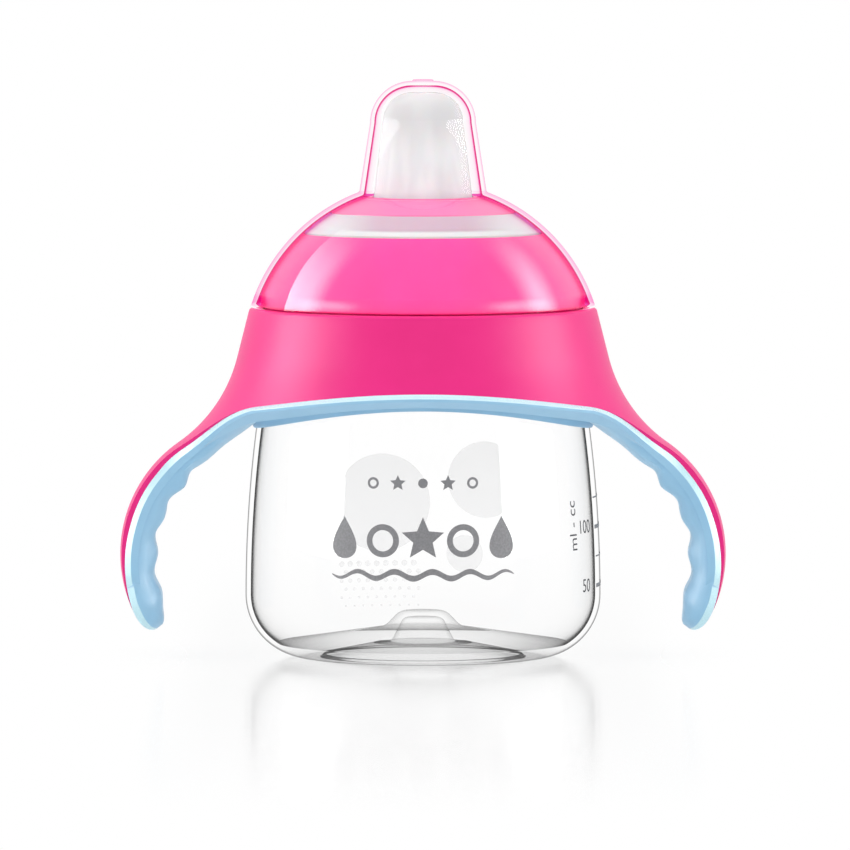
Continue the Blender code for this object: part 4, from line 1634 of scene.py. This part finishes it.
@dataclass(frozen=True)
class Valve:
    """Plug under the spout, with ports that a soft diaphragm covers."""

    plug_radius: float = 0.0081
    top_z: float = 0.09272
    flange_radius: float = 0.0110
    flange_top: float = 0.08442
    web_z: float = 0.08292
    web: float = 0.0014
    pull_radius: float = 0.00955
    pull_depth: float = 0.0027
    wall: float = 0.0013
    stem_radius: float = 0.0011
    port_radius: float = 0.0011
    port_count: int = 6
    port_sides: int = 20
    disc_thickness: float = 0.0006
    disc_crown: float = 0.0008
    barb_reach: float = 0.0008
    barb_height: float = 0.0014
    clearance: float = 0.0003
    edge_round: float = 0.0003
    grip_count: int = 24
    grip_depth: float = 0.00018
    steps: int = 96

    @property
    def chamber(self) -> float:
        """Inner radius of the plug."""
        return self.plug_radius - self.wall

    def build_body(self) -> Piece:
        """Make the plug with its flange, pull ring and ports.

        Returns:
            The new object.
        """
        edge = self.edge_round
        hub = self.stem_radius + self.clearance
        pull_inner = self.pull_radius - self.wall
        bottom, floor = self.web_z - self.pull_depth, self.web_z + self.web
        corners: list[Corner] = [
            (self.plug_radius, (self.top_z + self.flange_top) / 2, 0.0),
            (self.plug_radius, self.flange_top, edge),
            (self.flange_radius, self.flange_top, edge),
            (self.flange_radius, self.web_z, edge),
            (self.pull_radius, self.web_z, edge),
            (self.pull_radius, bottom, edge),
            (pull_inner, bottom, edge),
            (pull_inner, self.web_z, edge),
            (hub, self.web_z, edge / 2),
            (hub, floor, edge / 2),
            (self.chamber, floor, edge),
            (self.chamber, self.top_z, edge),
            (self.plug_radius, self.top_z, edge),
            (self.plug_radius, (self.top_z + self.flange_top) / 2, 0.0),
        ]
        obj = Maker.turned("valve_plug", rounded(corners, 4)[:-1], self.steps, True)
        for vert in obj.data.vertices:
            if math.hypot(vert.co.x, vert.co.y) > (self.flange_radius + self.pull_radius) / 2:
                turn = math.atan2(vert.co.y, vert.co.x) * self.grip_count
                scale = 1 - self.grip_depth / self.flange_radius * (0.5 + 0.5 * math.cos(turn))
                vert.co.x, vert.co.y = vert.co.x * scale, vert.co.y * scale
        ring = (hub + self.chamber) / 2
        middle = self.web_z + self.web / 2
        places = [(ring * math.cos(a), ring * math.sin(a), middle) for a in full_turn(self.port_count)]
        Maker.drill(obj, places, self.port_radius, 3 * self.web, self.port_sides)
        return obj

    def build_diaphragm(self) -> Piece:
        """Make the soft diaphragm, held by its barbed stem.

        Returns:
            The new object.
        """
        disc_z = self.web_z + self.web + self.clearance
        disc_radius = self.chamber - self.clearance
        barb_z = self.web_z - self.clearance
        crown = self.disc_thickness + self.disc_crown
        rim = self.disc_thickness / 2
        rise = [(disc_radius * t, disc_z + rim + (crown - rim) * (1 - t**2)) for t in spread(0.0, 1.0, 12)]
        corners: list[Corner] = [
            *plain(rise[:-1]),
            (*rise[-1], 0.00015),
            (disc_radius, disc_z, 0.00012),
            (self.stem_radius, disc_z, 0.0002),
            (self.stem_radius, barb_z, 0.0),
            (self.stem_radius + self.barb_reach, barb_z, 0.00015),
            (self.stem_radius * 0.75, barb_z - self.barb_height, 0.0003),
            (0.0, barb_z - self.barb_height, 0.0),
        ]
        return Maker.turned("valve_flap", rounded(corners, 4), self.steps, False)

    def dress(self, finishes: Finishes) -> None:
        """Build the plug and its diaphragm, and give them their looks."""
        fit_out(self.build_body(), Body.VALVE, finishes.white, "valve_body")
        fit_out(self.build_diaphragm(), Body.VALVE, finishes.milky, "valve_diaphragm")


# The handle


@dataclass
class Bell:
    """Outline of handle ring and arm: a straight cone, a hollow flare, then an outward bow."""

    top_radius: float = 0.036407
    top_z: float = 0.0733
    cone_angle: float = math.radians(14.2)
    flare_radius: float = 0.0313
    bow_radius: float = 0.02837
    bow_z: float = 0.0217
    reach: float = 0.0636

    def __post_init__(self) -> None:
        """Find where cone, flare and bow meet."""
        down = (math.sin(self.cone_angle), -math.cos(self.cone_angle))
        out = (math.cos(self.cone_angle), math.sin(self.cone_angle))
        bow = (self.reach - self.bow_radius, self.bow_z)
        beside = (self.top_radius + self.flare_radius * out[0], self.top_z + self.flare_radius * out[1])
        offset = (beside[0] - bow[0], beside[1] - bow[1])
        along = offset[0] * down[0] + offset[1] * down[1]
        spare = offset[0] ** 2 + offset[1] ** 2 - (self.bow_radius + self.flare_radius) ** 2
        length = -along - math.sqrt(along**2 - spare)
        flare = (beside[0] + length * down[0], beside[1] + length * down[1])
        join = math.atan2(flare[1] - bow[1], flare[0] - bow[0])
        self.down, self.out, self.bow, self.flare = down, out, bow, flare
        self.cone_length, self.join = length, join
        self.bow_start = length + self.flare_radius * (join - self.cone_angle)

    def point(self, s: float, depth: float = 0.0) -> Point2:
        """Point of the outline.

        Args:
            s: Length from the top edge.
            depth: Depth below the outer surface.

        Returns:
            Distance from the axis, and height.
        """
        if s < self.cone_length:
            out = self.out
            base = (self.top_radius + s * self.down[0], self.top_z + s * self.down[1])
        elif s < self.bow_start:
            angle = self.cone_angle + (s - self.cone_length) / self.flare_radius
            out = (math.cos(angle), math.sin(angle))
            base = (self.flare[0] - self.flare_radius * out[0], self.flare[1] - self.flare_radius * out[1])
        else:
            angle = self.join - (s - self.bow_start) / self.bow_radius
            out = (math.cos(angle), math.sin(angle))
            base = (self.bow[0] + self.bow_radius * out[0], self.bow[1] + self.bow_radius * out[1])
        return base[0] - depth * out[0], base[1] - depth * out[1]

    def length_at(self, z: float) -> float:
        """Find a height on the outline, by halving.

        Args:
            z: The height.

        Returns:
            Length from the top edge down to it.
        """
        low, high = 0.0, self.bow_start + self.bow_radius * (self.join + math.pi / 2)
        for _ in range(44):
            middle = (low + high) / 2
            if self.point(middle)[1] > z:
                low = middle
            else:
                high = middle
        return (low + high) / 2


@dataclass
class Handle:
    """Rigid ring with two arms, and the soft liner moulded on it."""

    bell: Bell
    cup: Cup
    wall: float = 0.0017
    lip_radius: float = 0.033282
    lip_thickness: float = 0.0016
    top_round: float = 0.0006
    edge_drop: float = 0.0053
    root_spread: float = 0.0215
    root_drop: float = 0.0120
    root_half_width: float = 0.0065
    arm_half_width: float = 0.0080
    arm_narrowing: float = 0.0120
    arm_plate: float = 0.0011
    plate_tip: float = 0.00015
    plate_end_z: float = 0.0098
    plate_fade: float = 0.0220
    tip_z: float = 0.0045
    tip_length: float = 0.0050
    tip_blunt: float = 0.12
    pad_depth_mid: float = 0.0073
    pad_taper: float = 0.0012
    pad_neck: float = 0.0010
    root_swell: float = 0.0026
    bump_height: float = 0.00045
    bump_pitch: float = 0.01075
    first_bump: float = 0.0388
    trim_height: float = 0.0019
    trim_proud: float = 0.0008
    trim_bevel: float = 0.0014
    corner_widening: float = 0.0005
    bevel_sharp: float = math.radians(13)
    pad_proud: float = 0.0008
    pad_bevel: float = 0.0011
    pad_side: float = 0.0028
    pad_slope: float = 0.0036
    pad_lap: float = 0.0014
    seat_depth: float = 0.0039
    seat_wall: float = 0.0009
    seat_gap: float = 0.00015
    seat_steps: int = 144
    trim_back: float = 0.0009
    touch: float = 0.00002
    bevel_step: float = 0.00012
    clearance: float = 0.0003

    # Edge of the rigid part

    def __post_init__(self) -> None:
        """Find where ring, corner, arm and pad meet."""
        bell = self.bell
        root_radius = bell.point(bell.length_at(self.saddle(0.0)))[0]
        self.root_angle = math.asin(self.root_half_width / root_radius)
        self.corner_angle = self.root_angle + self.root_spread / root_radius
        self.corner_s = bell.length_at(self.saddle(self.corner_angle))
        self.root_s = bell.length_at(self.saddle(self.root_angle) - self.root_drop)
        self.bow_s = bell.length_at(bell.bow_z)
        self.plate_end = bell.length_at(self.plate_end_z)
        self.pad_start = bell.length_at(self.cup.shoulder_z - self.trim_height)
        self.pad_end = bell.length_at(self.tip_z)

    def saddle(self, angle: float) -> float:
        """Height of the ring's lower edge, at an angle from the arm, before its corner is rounded."""
        return self.cup.shoulder_z - self.edge_drop * math.cos(angle) ** 2

    def corner_left(self, angle: float) -> float:
        """Share of the rounded corner passed on the way to the arm."""
        return min(1.0, max(0.0, (self.corner_angle - abs(angle)) / (self.corner_angle - self.root_angle)))

    def edge_s(self, angle: float) -> float:
        """Follow the ring's lower edge, with its corner to the arm rounded.

        Args:
            angle: Angle from the arm's middle.

        Returns:
            Length from the ring's top edge down to it.
        """
        left = self.corner_left(angle)
        z = self.saddle(max(abs(angle), self.root_angle)) - self.root_drop * (1 - math.sqrt(1 - left**2))
        return self.bell.length_at(z)

    def edge_angle(self, s: float) -> float:
        """Find the edge of the rounded corner, by halving.

        Args:
            s: Length from the ring's top edge.

        Returns:
            Angle from the arm's middle to it.
        """
        low, high = self.root_angle, self.corner_angle
        for _ in range(32):
            middle = (low + high) / 2
            if self.edge_s(middle) > s:
                low = middle
            else:
                high = middle
        return (low + high) / 2

    def half_width(self, s: float) -> float:
        """Measure the arm's rigid layer across.

        Args:
            s: Length from the ring's top edge.

        Returns:
            Half its width.
        """
        if s < self.root_s:
            return self.bell.point(s)[0] * math.sin(self.edge_angle(s))
        root = self.bell.point(self.root_s)[0] * math.sin(self.root_angle)
        return root + (self.arm_half_width - root) * smooth_step((s - self.root_s) / self.arm_narrowing)

    @staticmethod
    def rounded_end(s: float, end: float, length: float, blunt: float) -> float:
        """Share of a section left at s, where it is drawn in over a length to a blunt round end."""
        late = min(1.0, max(0.0, (s - end + length) / length))
        return math.sqrt(1 - (1 - blunt**2) * late**2)

    def plate_width(self, s: float) -> float:
        """Half width of the rigid layer with its rounded end."""
        return self.half_width(s) * self.rounded_end(s, self.plate_end, self.arm_half_width, self.tip_blunt)

    def plate_depth(self, s: float) -> float:
        """Measure the rigid layer's thickness, less on the arm and least at its tip.

        Args:
            s: Length from the ring's top edge.

        Returns:
            The thickness.
        """
        thinned = smooth_step((s - self.corner_s) / (self.root_s - self.corner_s))
        depth = self.wall + (self.arm_plate - self.wall) * thinned
        fade = smooth_step((s - self.plate_end + self.plate_fade) / self.plate_fade)
        return depth + (self.plate_tip - depth) * fade

    def depth_to_cup(self, s: float) -> float:
        """Follow a normal from the outer surface until it comes near the cup's wall.

        Args:
            s: Length from the ring's top edge.

        Returns:
            Its depth there.
        """
        depth = self.wall
        for _ in range(8):
            distance, z = self.bell.point(s, depth)
            depth += distance - self.cup.radius_at(z) - self.clearance
        return depth

    def pad_depth(self, s: float) -> float:
        """Find the finger side, with its bumps.

        Args:
            s: Length from the ring's top edge.

        Returns:
            Its depth under the outer surface.
        """
        swell = self.root_swell * smooth_step((self.first_bump - self.bump_pitch - s) / self.bump_pitch)
        neck = self.pad_neck * smooth_step((self.first_bump - s) / (self.bump_pitch / 2))
        taper = self.pad_taper * smooth_step((s - self.bow_s) / (self.pad_end - self.bow_s))
        bump = self.bump_height * math.cos(2 * math.pi * (s - self.first_bump) / self.bump_pitch)
        bump *= smooth_step((s - self.first_bump + self.bump_pitch) / self.bump_pitch)
        return min(self.pad_depth_mid + swell - neck - taper + bump, self.depth_to_cup(s))

    def place(self, s: float, angle: float, depth: float = 0.0) -> Point3:
        """Point in space.

        Args:
            s: Length from the ring's top edge.
            angle: Angle round the axis from +X.
            depth: Depth below the outer surface.

        Returns:
            The point.
        """
        distance, z = self.bell.point(s, depth)
        return distance * math.cos(angle), distance * math.sin(angle), z

    def place_across(self, s: float, across: float, depth: float = 0.0) -> Point3:
        """The same, at a distance across the arm."""
        return self.place(s, math.asin(across / self.bell.point(s)[0]), depth)

    # Rigid ring and arms

    def side_angles(self) -> list[float]:
        """Share out the ring's columns.

        Returns:
            Their angles, from an arm's side to the ring's side.
        """
        turn = self.corner_angle - self.root_angle
        corner = [self.root_angle + turn * (1 - math.cos(a)) for a in spread(0.0, math.pi / 2, 25)[1:]]
        return corner + spread(self.corner_angle, math.pi / 2, 32)[1:]

    def arm_lengths(self) -> list[float]:
        """Share out the arm's rows.

        Returns:
            Their lengths, close together at the rigid layer's rounded end.
        """
        last = self.plate_end - self.arm_half_width
        end = [last + self.arm_half_width * math.sin(a) for a in spread(0.0, math.pi / 2, 22)]
        return spread(self.root_s, last, 36)[1:] + end[1:]

    def build_frame(self) -> Piece:
        """Make the rigid ring and arms.

        Returns:
            The new object.
        """
        arm_shares = spread(-1.0, 1.0, 17)
        side = self.side_angles()
        arm = [math.asin(share * math.sin(self.root_angle)) for share in arm_shares]
        angles = [-a for a in reversed(side)] + arm + side
        bell, top = self.bell, self.bell.top_z
        lip_z = top - self.lip_thickness
        start, inner_start = 0.0022, 0.0030
        crown = rounded(
            [
                (*bell.point(start), 0.0),
                (bell.top_radius, top, self.top_round),
                (self.lip_radius, top, 0.0003),
                (self.lip_radius, lip_z, 0.0003),
                (bell.point(inner_start, self.wall)[0] - 0.0006, lip_z, 0.0005),
                (*bell.point(inner_start, self.wall), 0.0),
            ],
            5,
        )
        loops = []
        for angle in angles:
            end = self.edge_s(angle)
            c, s = math.cos(angle), math.sin(angle)
            outer = [self.place(x, angle) for x in spread(end, start, 34)[:-1]]
            inner = [self.place(x, angle, self.plate_depth(x)) for x in spread(inner_start, end, 28)[1:]]
            loops.append(outer + [(r * c, r * s, z) for r, z in crown] + inner)
        bm = bmesh.new()
        made = Maker.loft(bm, loops, False)
        first_arm = len(side)
        arm_columns = made[first_arm:first_arm + len(arm)]
        for i, (one, two) in enumerate(zip(made, made[1:])):
            if not first_arm <= i < first_arm + len(arm) - 1:
                bm.faces.new((one[0], one[-1], two[-1], two[0]))
        belt = [column[0] for column in arm_columns] + [column[-1] for column in reversed(arm_columns)]
        shares = arm_shares + arm_shares[::-1]
        for s in self.arm_lengths():
            width, depth = self.plate_width(s), self.plate_depth(s)
            depths = [0.0] * len(arm_shares) + [depth] * len(arm_shares)
            points = [self.place_across(s, share * width, d) for share, d in zip(shares, depths)]
            following = [bm.verts.new(point) for point in points]
            for i in range(len(belt)):
                j = (i + 1) % len(belt)
                bm.faces.new((belt[i], belt[j], following[j], following[i]))
            belt = following
        for i in range(len(arm_shares) - 1):
            bm.faces.new((belt[i], belt[i + 1], belt[-2 - i], belt[-1 - i]))
        obj = Maker.from_bmesh("handle_ring_and_arms", bm)
        Maker.mirror(obj, True, False)
        return obj

    # Soft liner

    def edge_path(self) -> list[tuple[float, float, float, float]]:
        """Edge of the rigid part over a quarter of the ring.

        Returns:
            (length, angle, bare, turn) of each point, from the ring's side to the arm's tip. The share of
            the rigid edge left bare and the share of the turn are 0 on the ring and 1 on the arm.
        """
        path = []
        for angle in reversed(self.side_angles()):
            left = min(self.corner_left(angle), 0.9999)
            rest = math.sqrt(1 - left**2)
            steep = self.root_drop / self.root_spread * left / rest
            path.append((self.edge_s(angle), angle, 1 - rest, steep / math.hypot(1.0, steep)))
        for s in [self.root_s, *self.arm_lengths()]:
            path.append((s, math.asin(self.plate_width(s) / self.bell.point(s)[0]), 1.0, 1.0))
        path.append((self.plate_end, 0.0, 1.0, 1.0))
        return path

    def band_section(self, s: float, bare: float, turn: float) -> list[Point2]:
        """Section of the edge band.

        Args:
            s: Length from the ring's top edge.
            bare: Share of the rigid edge left bare.
            turn: Share of the turn from the ring to the arm.

        Returns:
            (distance away from the rigid edge, depth) points.
        """
        plate, touch, step = self.plate_depth(s), self.touch, self.bevel_step
        corner = (touch * (1 - bare) - 0.0003 * bare**4, plate + touch)
        ring = [
            (touch, 0.0),
            (self.trim_bevel, -self.trim_proud),
            (self.trim_bevel + step, -self.trim_proud + step / 3),
            (self.trim_height, -self.trim_proud * 0.4),
            (self.trim_height, plate + self.trim_back),
            (touch, plate + self.trim_back),
            corner,
        ]
        arm = [
            (0.0, plate),
            (self.pad_proud, plate + self.pad_bevel),
            (self.pad_proud + step / 6, plate + self.pad_bevel + step),
            (self.pad_proud, plate + self.pad_side),
            (-self.pad_lap, plate + self.pad_side - 0.0005),
            (-self.pad_lap, plate + 0.0003),
            corner,
        ]
        wide = self.corner_widening * 4 * turn * (1 - turn)
        widths = (0.0, wide, wide, wide, 0.0, 0.0, 0.0)
        shares = (bare, turn, turn, turn, bare, bare, bare)
        return [
            (a + (b - a) * share + more, c + (d - c) * share)
            for (a, c), (b, d), share, more in zip(ring, arm, shares, widths)
        ]

    def build_band(self) -> Piece:
        """Make the band along the rigid edge: trim under the ring, and bevel along the arms.

        Returns:
            The new object.
        """
        path = self.edge_path()
        flat = [(self.bell.point(s)[0] * angle, s) for s, angle, _, _ in path]
        loops = []
        last = len(path) - 1
        for i, (s, angle, bare, turn) in enumerate(path):
            before, after = flat[max(i - 1, 0)], flat[min(i + 1, last)]
            along = Vector((after[0] - before[0], after[1] - before[1])).normalized()
            if i in (0, last):
                along = Vector((-1.0, 0.0))
            away = (along.y, -along.x)
            radius = self.bell.point(s)[0]
            loops.append(
                [
                    self.place(s + off * away[1], angle + off * away[0] / radius, depth)
                    for off, depth in self.band_section(s, bare, turn)
                ]
            )
        bm = bmesh.new()
        self.loft_bevelled(bm, loops, (0, 1), 0)
        obj = Maker.from_bmesh("grip_edge_band", bm)
        Maker.mirror(obj, True, True)
        obj.data.set_sharp_from_angle(angle=self.bevel_sharp)
        return obj

    @staticmethod
    def loft_bevelled(
        bm: Mesh, loops: Loops, columns: Sequence[int], first: int
    ) -> Verts:
        """Loft closed sections, with the bevel marked for less roughness and a painted highlight.

        Args:
            bm: Mesh to add to.
            loops: Points of the sections.
            columns: Points of a section that lie on the bevel.
            first: Section that the bevel starts from.

        Returns:
            The new vertices, loop by loop.
        """
        layer = bm.verts.layers.float.new(Maker.BEVEL_GLOSS_AND_HIGHLIGHT)
        made = Maker.loft(bm, loops, True)
        for section in made[first:]:
            for column in columns:
                section[column][layer] = 1.0
        return made

    def pad_loop(self, s: float) -> list[Point3]:
        """Section of a finger pad across the arm, drawn in at the pad's rounded end.

        Args:
            s: Length from the ring's top edge.

        Returns:
            Points round it.
        """
        gone = s > self.plate_end
        under_plate = 0.0 if gone else self.plate_depth(s) + 0.00005
        plate = 0.0 if gone else self.plate_width(s)
        bottom = self.pad_depth(s)
        width = self.half_width(min(s, self.plate_end))

        def top_at(across: float) -> float:
            """Depth of the pad's outer side, which comes up beside the rigid layer's rounded end."""
            return under_plate * (1 - smooth_step((across - plate) / (4 * self.pad_proud)))

        top = top_at(width)
        edge = width + self.pad_proud - 0.0001
        full = smooth_step((s - self.pad_start) / (self.root_s - self.pad_start))
        bevel = min(top + self.pad_bevel + 0.0002, (top + bottom) / 2)
        side_end = min(bevel + (self.pad_side - self.pad_bevel) * full, (bevel + bottom) / 2)
        core = min(width, self.half_width(self.root_s)) - self.pad_slope
        slant = [
            (edge + (core - edge) * t, side_end + (bottom - side_end) * (2 - t) * t)
            for t in spread(0.0, 1.0, 9)
        ]
        over = [(width * k, top_at(width * k)) for k in (0.2, 0.4, 0.6, 0.8)]
        bend = [(width - 0.0004, top), (edge, bevel), (edge, bevel + 0.0001)]
        side = [*over, *bend, *slant[1:], (core / 2, bottom)]
        other = [(-across, depth) for across, depth in reversed(side)]
        section = [(0.0, under_plate), *side, (0.0, bottom), *other]
        narrowed = self.rounded_end(s, self.pad_end, self.arm_half_width, self.tip_blunt)
        thinned = self.rounded_end(s, self.pad_end, self.tip_length, 0.30)
        middle = (top + bottom) / 2
        return [self.place_across(s, a * narrowed, middle + (d - middle) * thinned) for a, d in section]

    def build_pads(self) -> Piece:
        """Make the bumpy finger pads inside the arms.

        Returns:
            The new object.
        """
        covered = spread(self.pad_start, self.plate_end, 96)
        past = self.plate_end + 0.0002
        bare = [past + (self.pad_end - past) * math.sin(a) for a in spread(0.0, math.pi / 2, 18)]
        bm = bmesh.new()
        loops = [self.pad_loop(s) for s in covered + bare]
        rings = self.loft_bevelled(bm, loops, (5, 6, -5, -6), len(covered) - 10)
        bm.faces.new(rings[0])
        bm.faces.new(rings[-1])
        obj = Maker.from_bmesh("grip_pads", bm)
        Maker.mirror(obj, True, False)
        return obj

    def build_seat(self) -> Piece:
        """Make the thin lip that hugs the cup under the ring.

        Returns:
            The new object.
        """
        loops = []
        for angle in spread(0.0, 2 * math.pi, self.seat_steps + 1):
            edge = self.saddle(angle)
            bore = self.cup.radius_at(edge - self.seat_depth) + self.seat_gap
            middle = self.bell.point(self.bell.length_at(edge), self.wall + 0.0006)[0]
            section = [
                (bore, edge - 0.0003),
                (middle, edge - 0.0005),
                (middle, edge - self.trim_height),
                (bore + self.seat_wall + 0.0006, edge - self.trim_height),
                (bore + self.seat_wall, edge - self.trim_height - 0.0005),
                (bore + self.seat_wall * 0.6, edge - self.seat_depth + 0.0003),
                (bore + self.seat_wall * 0.35, edge - self.seat_depth),
                (bore, edge - self.seat_depth),
            ]
            loops.append([(r * math.cos(angle), r * math.sin(angle), z) for r, z in section])
        bm = bmesh.new()
        Maker.loft(bm, loops, True)
        bmesh.ops.remove_doubles(bm, verts=bm.verts, dist=1e-7)
        return Maker.from_bmesh("seat_lip", bm)

    def dress(self, finishes: Finishes) -> None:
        """Build the frame and its liner, and give them their looks.

        Args:
            finishes: Materials of the cup.
        """
        fit_out(self.build_frame(), Body.HANDLE, finishes.pink, "handle_frame")
        fit_out(self.build_pads(), Body.HANDLE, finishes.blue, "grip_liner")
        fit_out(self.build_band(), Body.HANDLE, finishes.blue)
        fit_out(self.build_seat(), Body.HANDLE, finishes.blue)


# Studio


class Shows(Enum):
    """What a lamp does: light the surfaces, or show as a reflection in them."""

    LIGHT = (True, False)
    REFLECTION = (False, True)


@dataclass(frozen=True)
class Softbox:
    """One rectangular studio lamp, which may fade out towards its left, right, lower and upper edge."""

    name: str
    place: Point3
    aim: Point3
    size: Point2
    radiance: float
    shows: Shows
    roll: float = 0.0
    fade: tuple[float, float, float, float] = (0.01, 0.01, 0.01, 0.01)

    def build(self) -> None:
        """Add the lamp to the scene."""
        lamp = bpy.data.lights.new(self.name, "AREA")
        lamp.shape = "RECTANGLE"
        lamp.size, lamp.size_y = self.size
        lamp.energy = self.radiance * math.pi * self.size[0] * self.size[1]
        lamp.use_nodes = True
        graph = Graph(lamp.node_tree)
        spot = graph.add("ShaderNodeNewGeometry", output="Parametric")
        across, up = graph.part("X", spot), graph.part("Y", spot)
        share = across.ramp(0.0, self.fade[0]) * (1 - across).ramp(0.0, self.fade[1])
        share = share * up.ramp(0.0, self.fade[2]) * (1 - up).ramp(0.0, self.fade[3])
        graph.finish("ShaderNodeOutputLight", graph.add("ShaderNodeEmission", {}, {"Strength": share}))
        obj = bpy.data.objects.new(self.name, lamp)
        obj.visible_diffuse, obj.visible_glossy = self.shows.value
        obj.visible_transmission = False
        if self.shows is Shows.REFLECTION:
            obj.light_linking.receiver_collection = bpy.data.collections[PIECES]
        direction = Vector(self.aim) - Vector(self.place)
        turn = direction.to_track_quat("-Z", "Y") @ Quaternion((0.0, 0.0, 1.0), self.roll)
        obj.location = self.place
        obj.rotation_euler = turn.to_euler()
        bpy.context.scene.collection.objects.link(obj)


@dataclass(frozen=True)
class Studio:
    """Camera, white sweep and soft light."""

    camera_distance: float = 2.40
    camera_height: float = 0.195
    aim: Point3 = (0.00042, 0.0, 0.0487)
    frame_width: float = 0.1785
    sensor: float = 36.0
    floor_radius: float = 0.55
    shade_share: float = 0.16
    mirror_share: float = 0.6
    back_wall: Point2 = (-0.2, 0.7)
    horizon: Point2 = (0.28, 0.40)
    room: Point2 = (-0.2, 0.8)
    shade_reach: Point2 = (0.030, 0.075)
    mirror_reach: Point2 = (0.03, 0.36)
    mirror_sides: Point2 = (0.944, 0.960)
    mirror_facing: Point2 = (0.60, 0.92)

    def build_camera(self) -> None:
        """Long-lens camera in front of the cup, a little above it."""
        data = bpy.data.cameras.new("camera")
        data.sensor_width = self.sensor
        place = Vector((self.aim[0], -self.camera_distance, self.camera_height))
        sight = Vector(self.aim) - place
        data.lens = self.sensor * sight.length / self.frame_width
        data.clip_end = 20.0
        camera = bpy.data.objects.new("camera", data)
        camera.location = place
        camera.rotation_euler = sight.to_track_quat("-Z", "Y").to_euler()
        bpy.context.scene.collection.objects.link(camera)
        bpy.context.scene.camera = camera

    def build_world(self) -> None:
        """White to the camera and through clear walls, bright behind in reflections, and a dim room."""
        world = bpy.data.worlds.new("studio")
        world.use_nodes = True
        bpy.context.scene.world = world
        graph = Graph(world.node_tree)
        ray = graph.add("ShaderNodeTexCoord", output="Generated")
        sight = Vector((0.0, self.camera_distance, self.aim[2] - self.camera_height)).normalized()
        dot = {"operation": "DOT_PRODUCT"}
        ahead = graph.add("ShaderNodeVectorMath", dot, {0: ray, 1: sight}, output="Value")
        height = graph.part("Z", ray)
        bright = ahead.ramp(*self.back_wall).larger(1 - height.ramp(*self.horizon))
        mirrored = graph.mix(bright, (0.06, 0.06, 0.06), (0.95, 0.95, 0.95))
        around = graph.mix(height.ramp(*self.room), (0.30, 0.30, 0.30), (0.55, 0.55, 0.55))
        colour = graph.mix(graph.light_path("Is Glossy Ray"), around, mirrored)
        seen = graph.light_path("Is Camera Ray").larger(graph.light_path("Is Transmission Ray"))
        colour = graph.mix(seen, colour, (1.0, 1.0, 1.0))
        background = graph.add("ShaderNodeBackground", {}, {"Color": colour, "Strength": 1.0})
        graph.finish("ShaderNodeOutputWorld", background)

    def build_floor(self) -> None:
        """Pale floor that keeps the cup's soft shadow and a faint reflection."""
        bm = bmesh.new()
        bmesh.ops.create_circle(bm, cap_ends=True, segments=96, radius=self.floor_radius)
        floor = Maker.from_bmesh("floor", bm)
        made, graph = Graph.material("white_sweep")
        place = graph.place()
        away = graph.add("ShaderNodeVectorMath", {"operation": "LENGTH"}, {0: place}, output="Value")
        sideways = graph.part("X")
        close = 1 - away.ramp(*self.shade_reach)
        near = graph.facing().ramp(*self.mirror_facing) * (1 - away.ramp(*self.mirror_reach))
        near = near * (1 - (sideways * sideways) ** 0.5).ramp(*self.mirror_sides)
        diffuse = graph.add("ShaderNodeBsdfDiffuse", {}, {"Color": (0.86, 0.86, 0.86)})
        white = graph.add("ShaderNodeEmission", {}, {"Color": (1.0, 1.0, 1.0), "Strength": 1.0})
        gloss = graph.add("ShaderNodeBsdfGlossy", {}, {"Color": (1.0, 1.0, 1.0), "Roughness": 0.14})
        seen = graph.light_path("Is Camera Ray").larger(
            graph.light_path("Is Glossy Ray").larger(graph.light_path("Is Transmission Ray"))
        )
        lit = graph.blend(close * self.shade_share, white, diffuse)
        shown = graph.blend(near * self.mirror_share, lit, gloss)
        graph.finish("ShaderNodeOutputMaterial", graph.blend(seen, diffuse, shown))
        floor.data.materials.append(made)

    @staticmethod
    def lamps() -> list[Softbox]:
        """List the lamps.

        Returns:
            Four that light the cup, and four that show as reflections in it.
        """
        middle, roll = (0.0, 0.0, 0.06), math.radians(22)
        light, mirror = Shows.LIGHT, Shows.REFLECTION
        panel, strip = (0.78, 1.5), (0.9, 0.26)
        left_fade, right_fade = (0.02, 0.5, 0.02, 0.7), (0.5, 0.5, 0.02, 0.7)
        return [
            Softbox("left_softbox", (-1.0, 0.0, 0.70), middle, (0.85, 0.9), 2.8, light),
            Softbox("right_softbox", (1.0, 0.0, 0.70), middle, (0.85, 0.9), 2.6, light),
            Softbox("front_softbox", (0.0, -1.6, 0.8), middle, (1.6, 0.9), 1.75, light),
            Softbox("top_softbox", (0.0, -0.2, 1.3), middle, (1.2, 1.2), 1.05, light),
            Softbox("left_panel", (-1.0, 0.12, 0.75), middle, panel, 10.0, mirror, roll, left_fade),
            Softbox("right_panel", (1.0, 0.12, 0.75), middle, panel, 8.8, mirror, -roll, right_fade),
            Softbox("left_strip", (-1.0, -0.25, 0.14), middle, strip, 20.0, mirror),
            Softbox("right_strip", (1.0, -0.25, 0.14), middle, strip, 20.0, mirror),
        ]

    def build(self) -> None:
        """Set up the whole studio."""
        bpy.context.scene.view_settings.view_transform = "Standard"
        self.build_camera()
        self.build_world()
        self.build_floor()
        for lamp in self.lamps():
            lamp.build()


def main() -> None:
    """Build every piece in order and log it."""
    logging.basicConfig(level=logging.INFO, format="%(message)s")
    bpy.data.collections.new(PIECES)
    Studio().build()
    finishes = Finishes()
    cup, sphere = Cup(), LidSphere()
    ring = ScrewRing(sphere)
    cup.dress(finishes)
    Print(cup).dress(finishes)
    Handle(Bell(), cup).dress(finishes)
    ring.dress(finishes, cup)
    Spout(sphere, ring).dress(finishes)
    Cap(sphere).dress(finishes)
    Valve().dress(finishes)


if __name__ == "__main__":
    main()
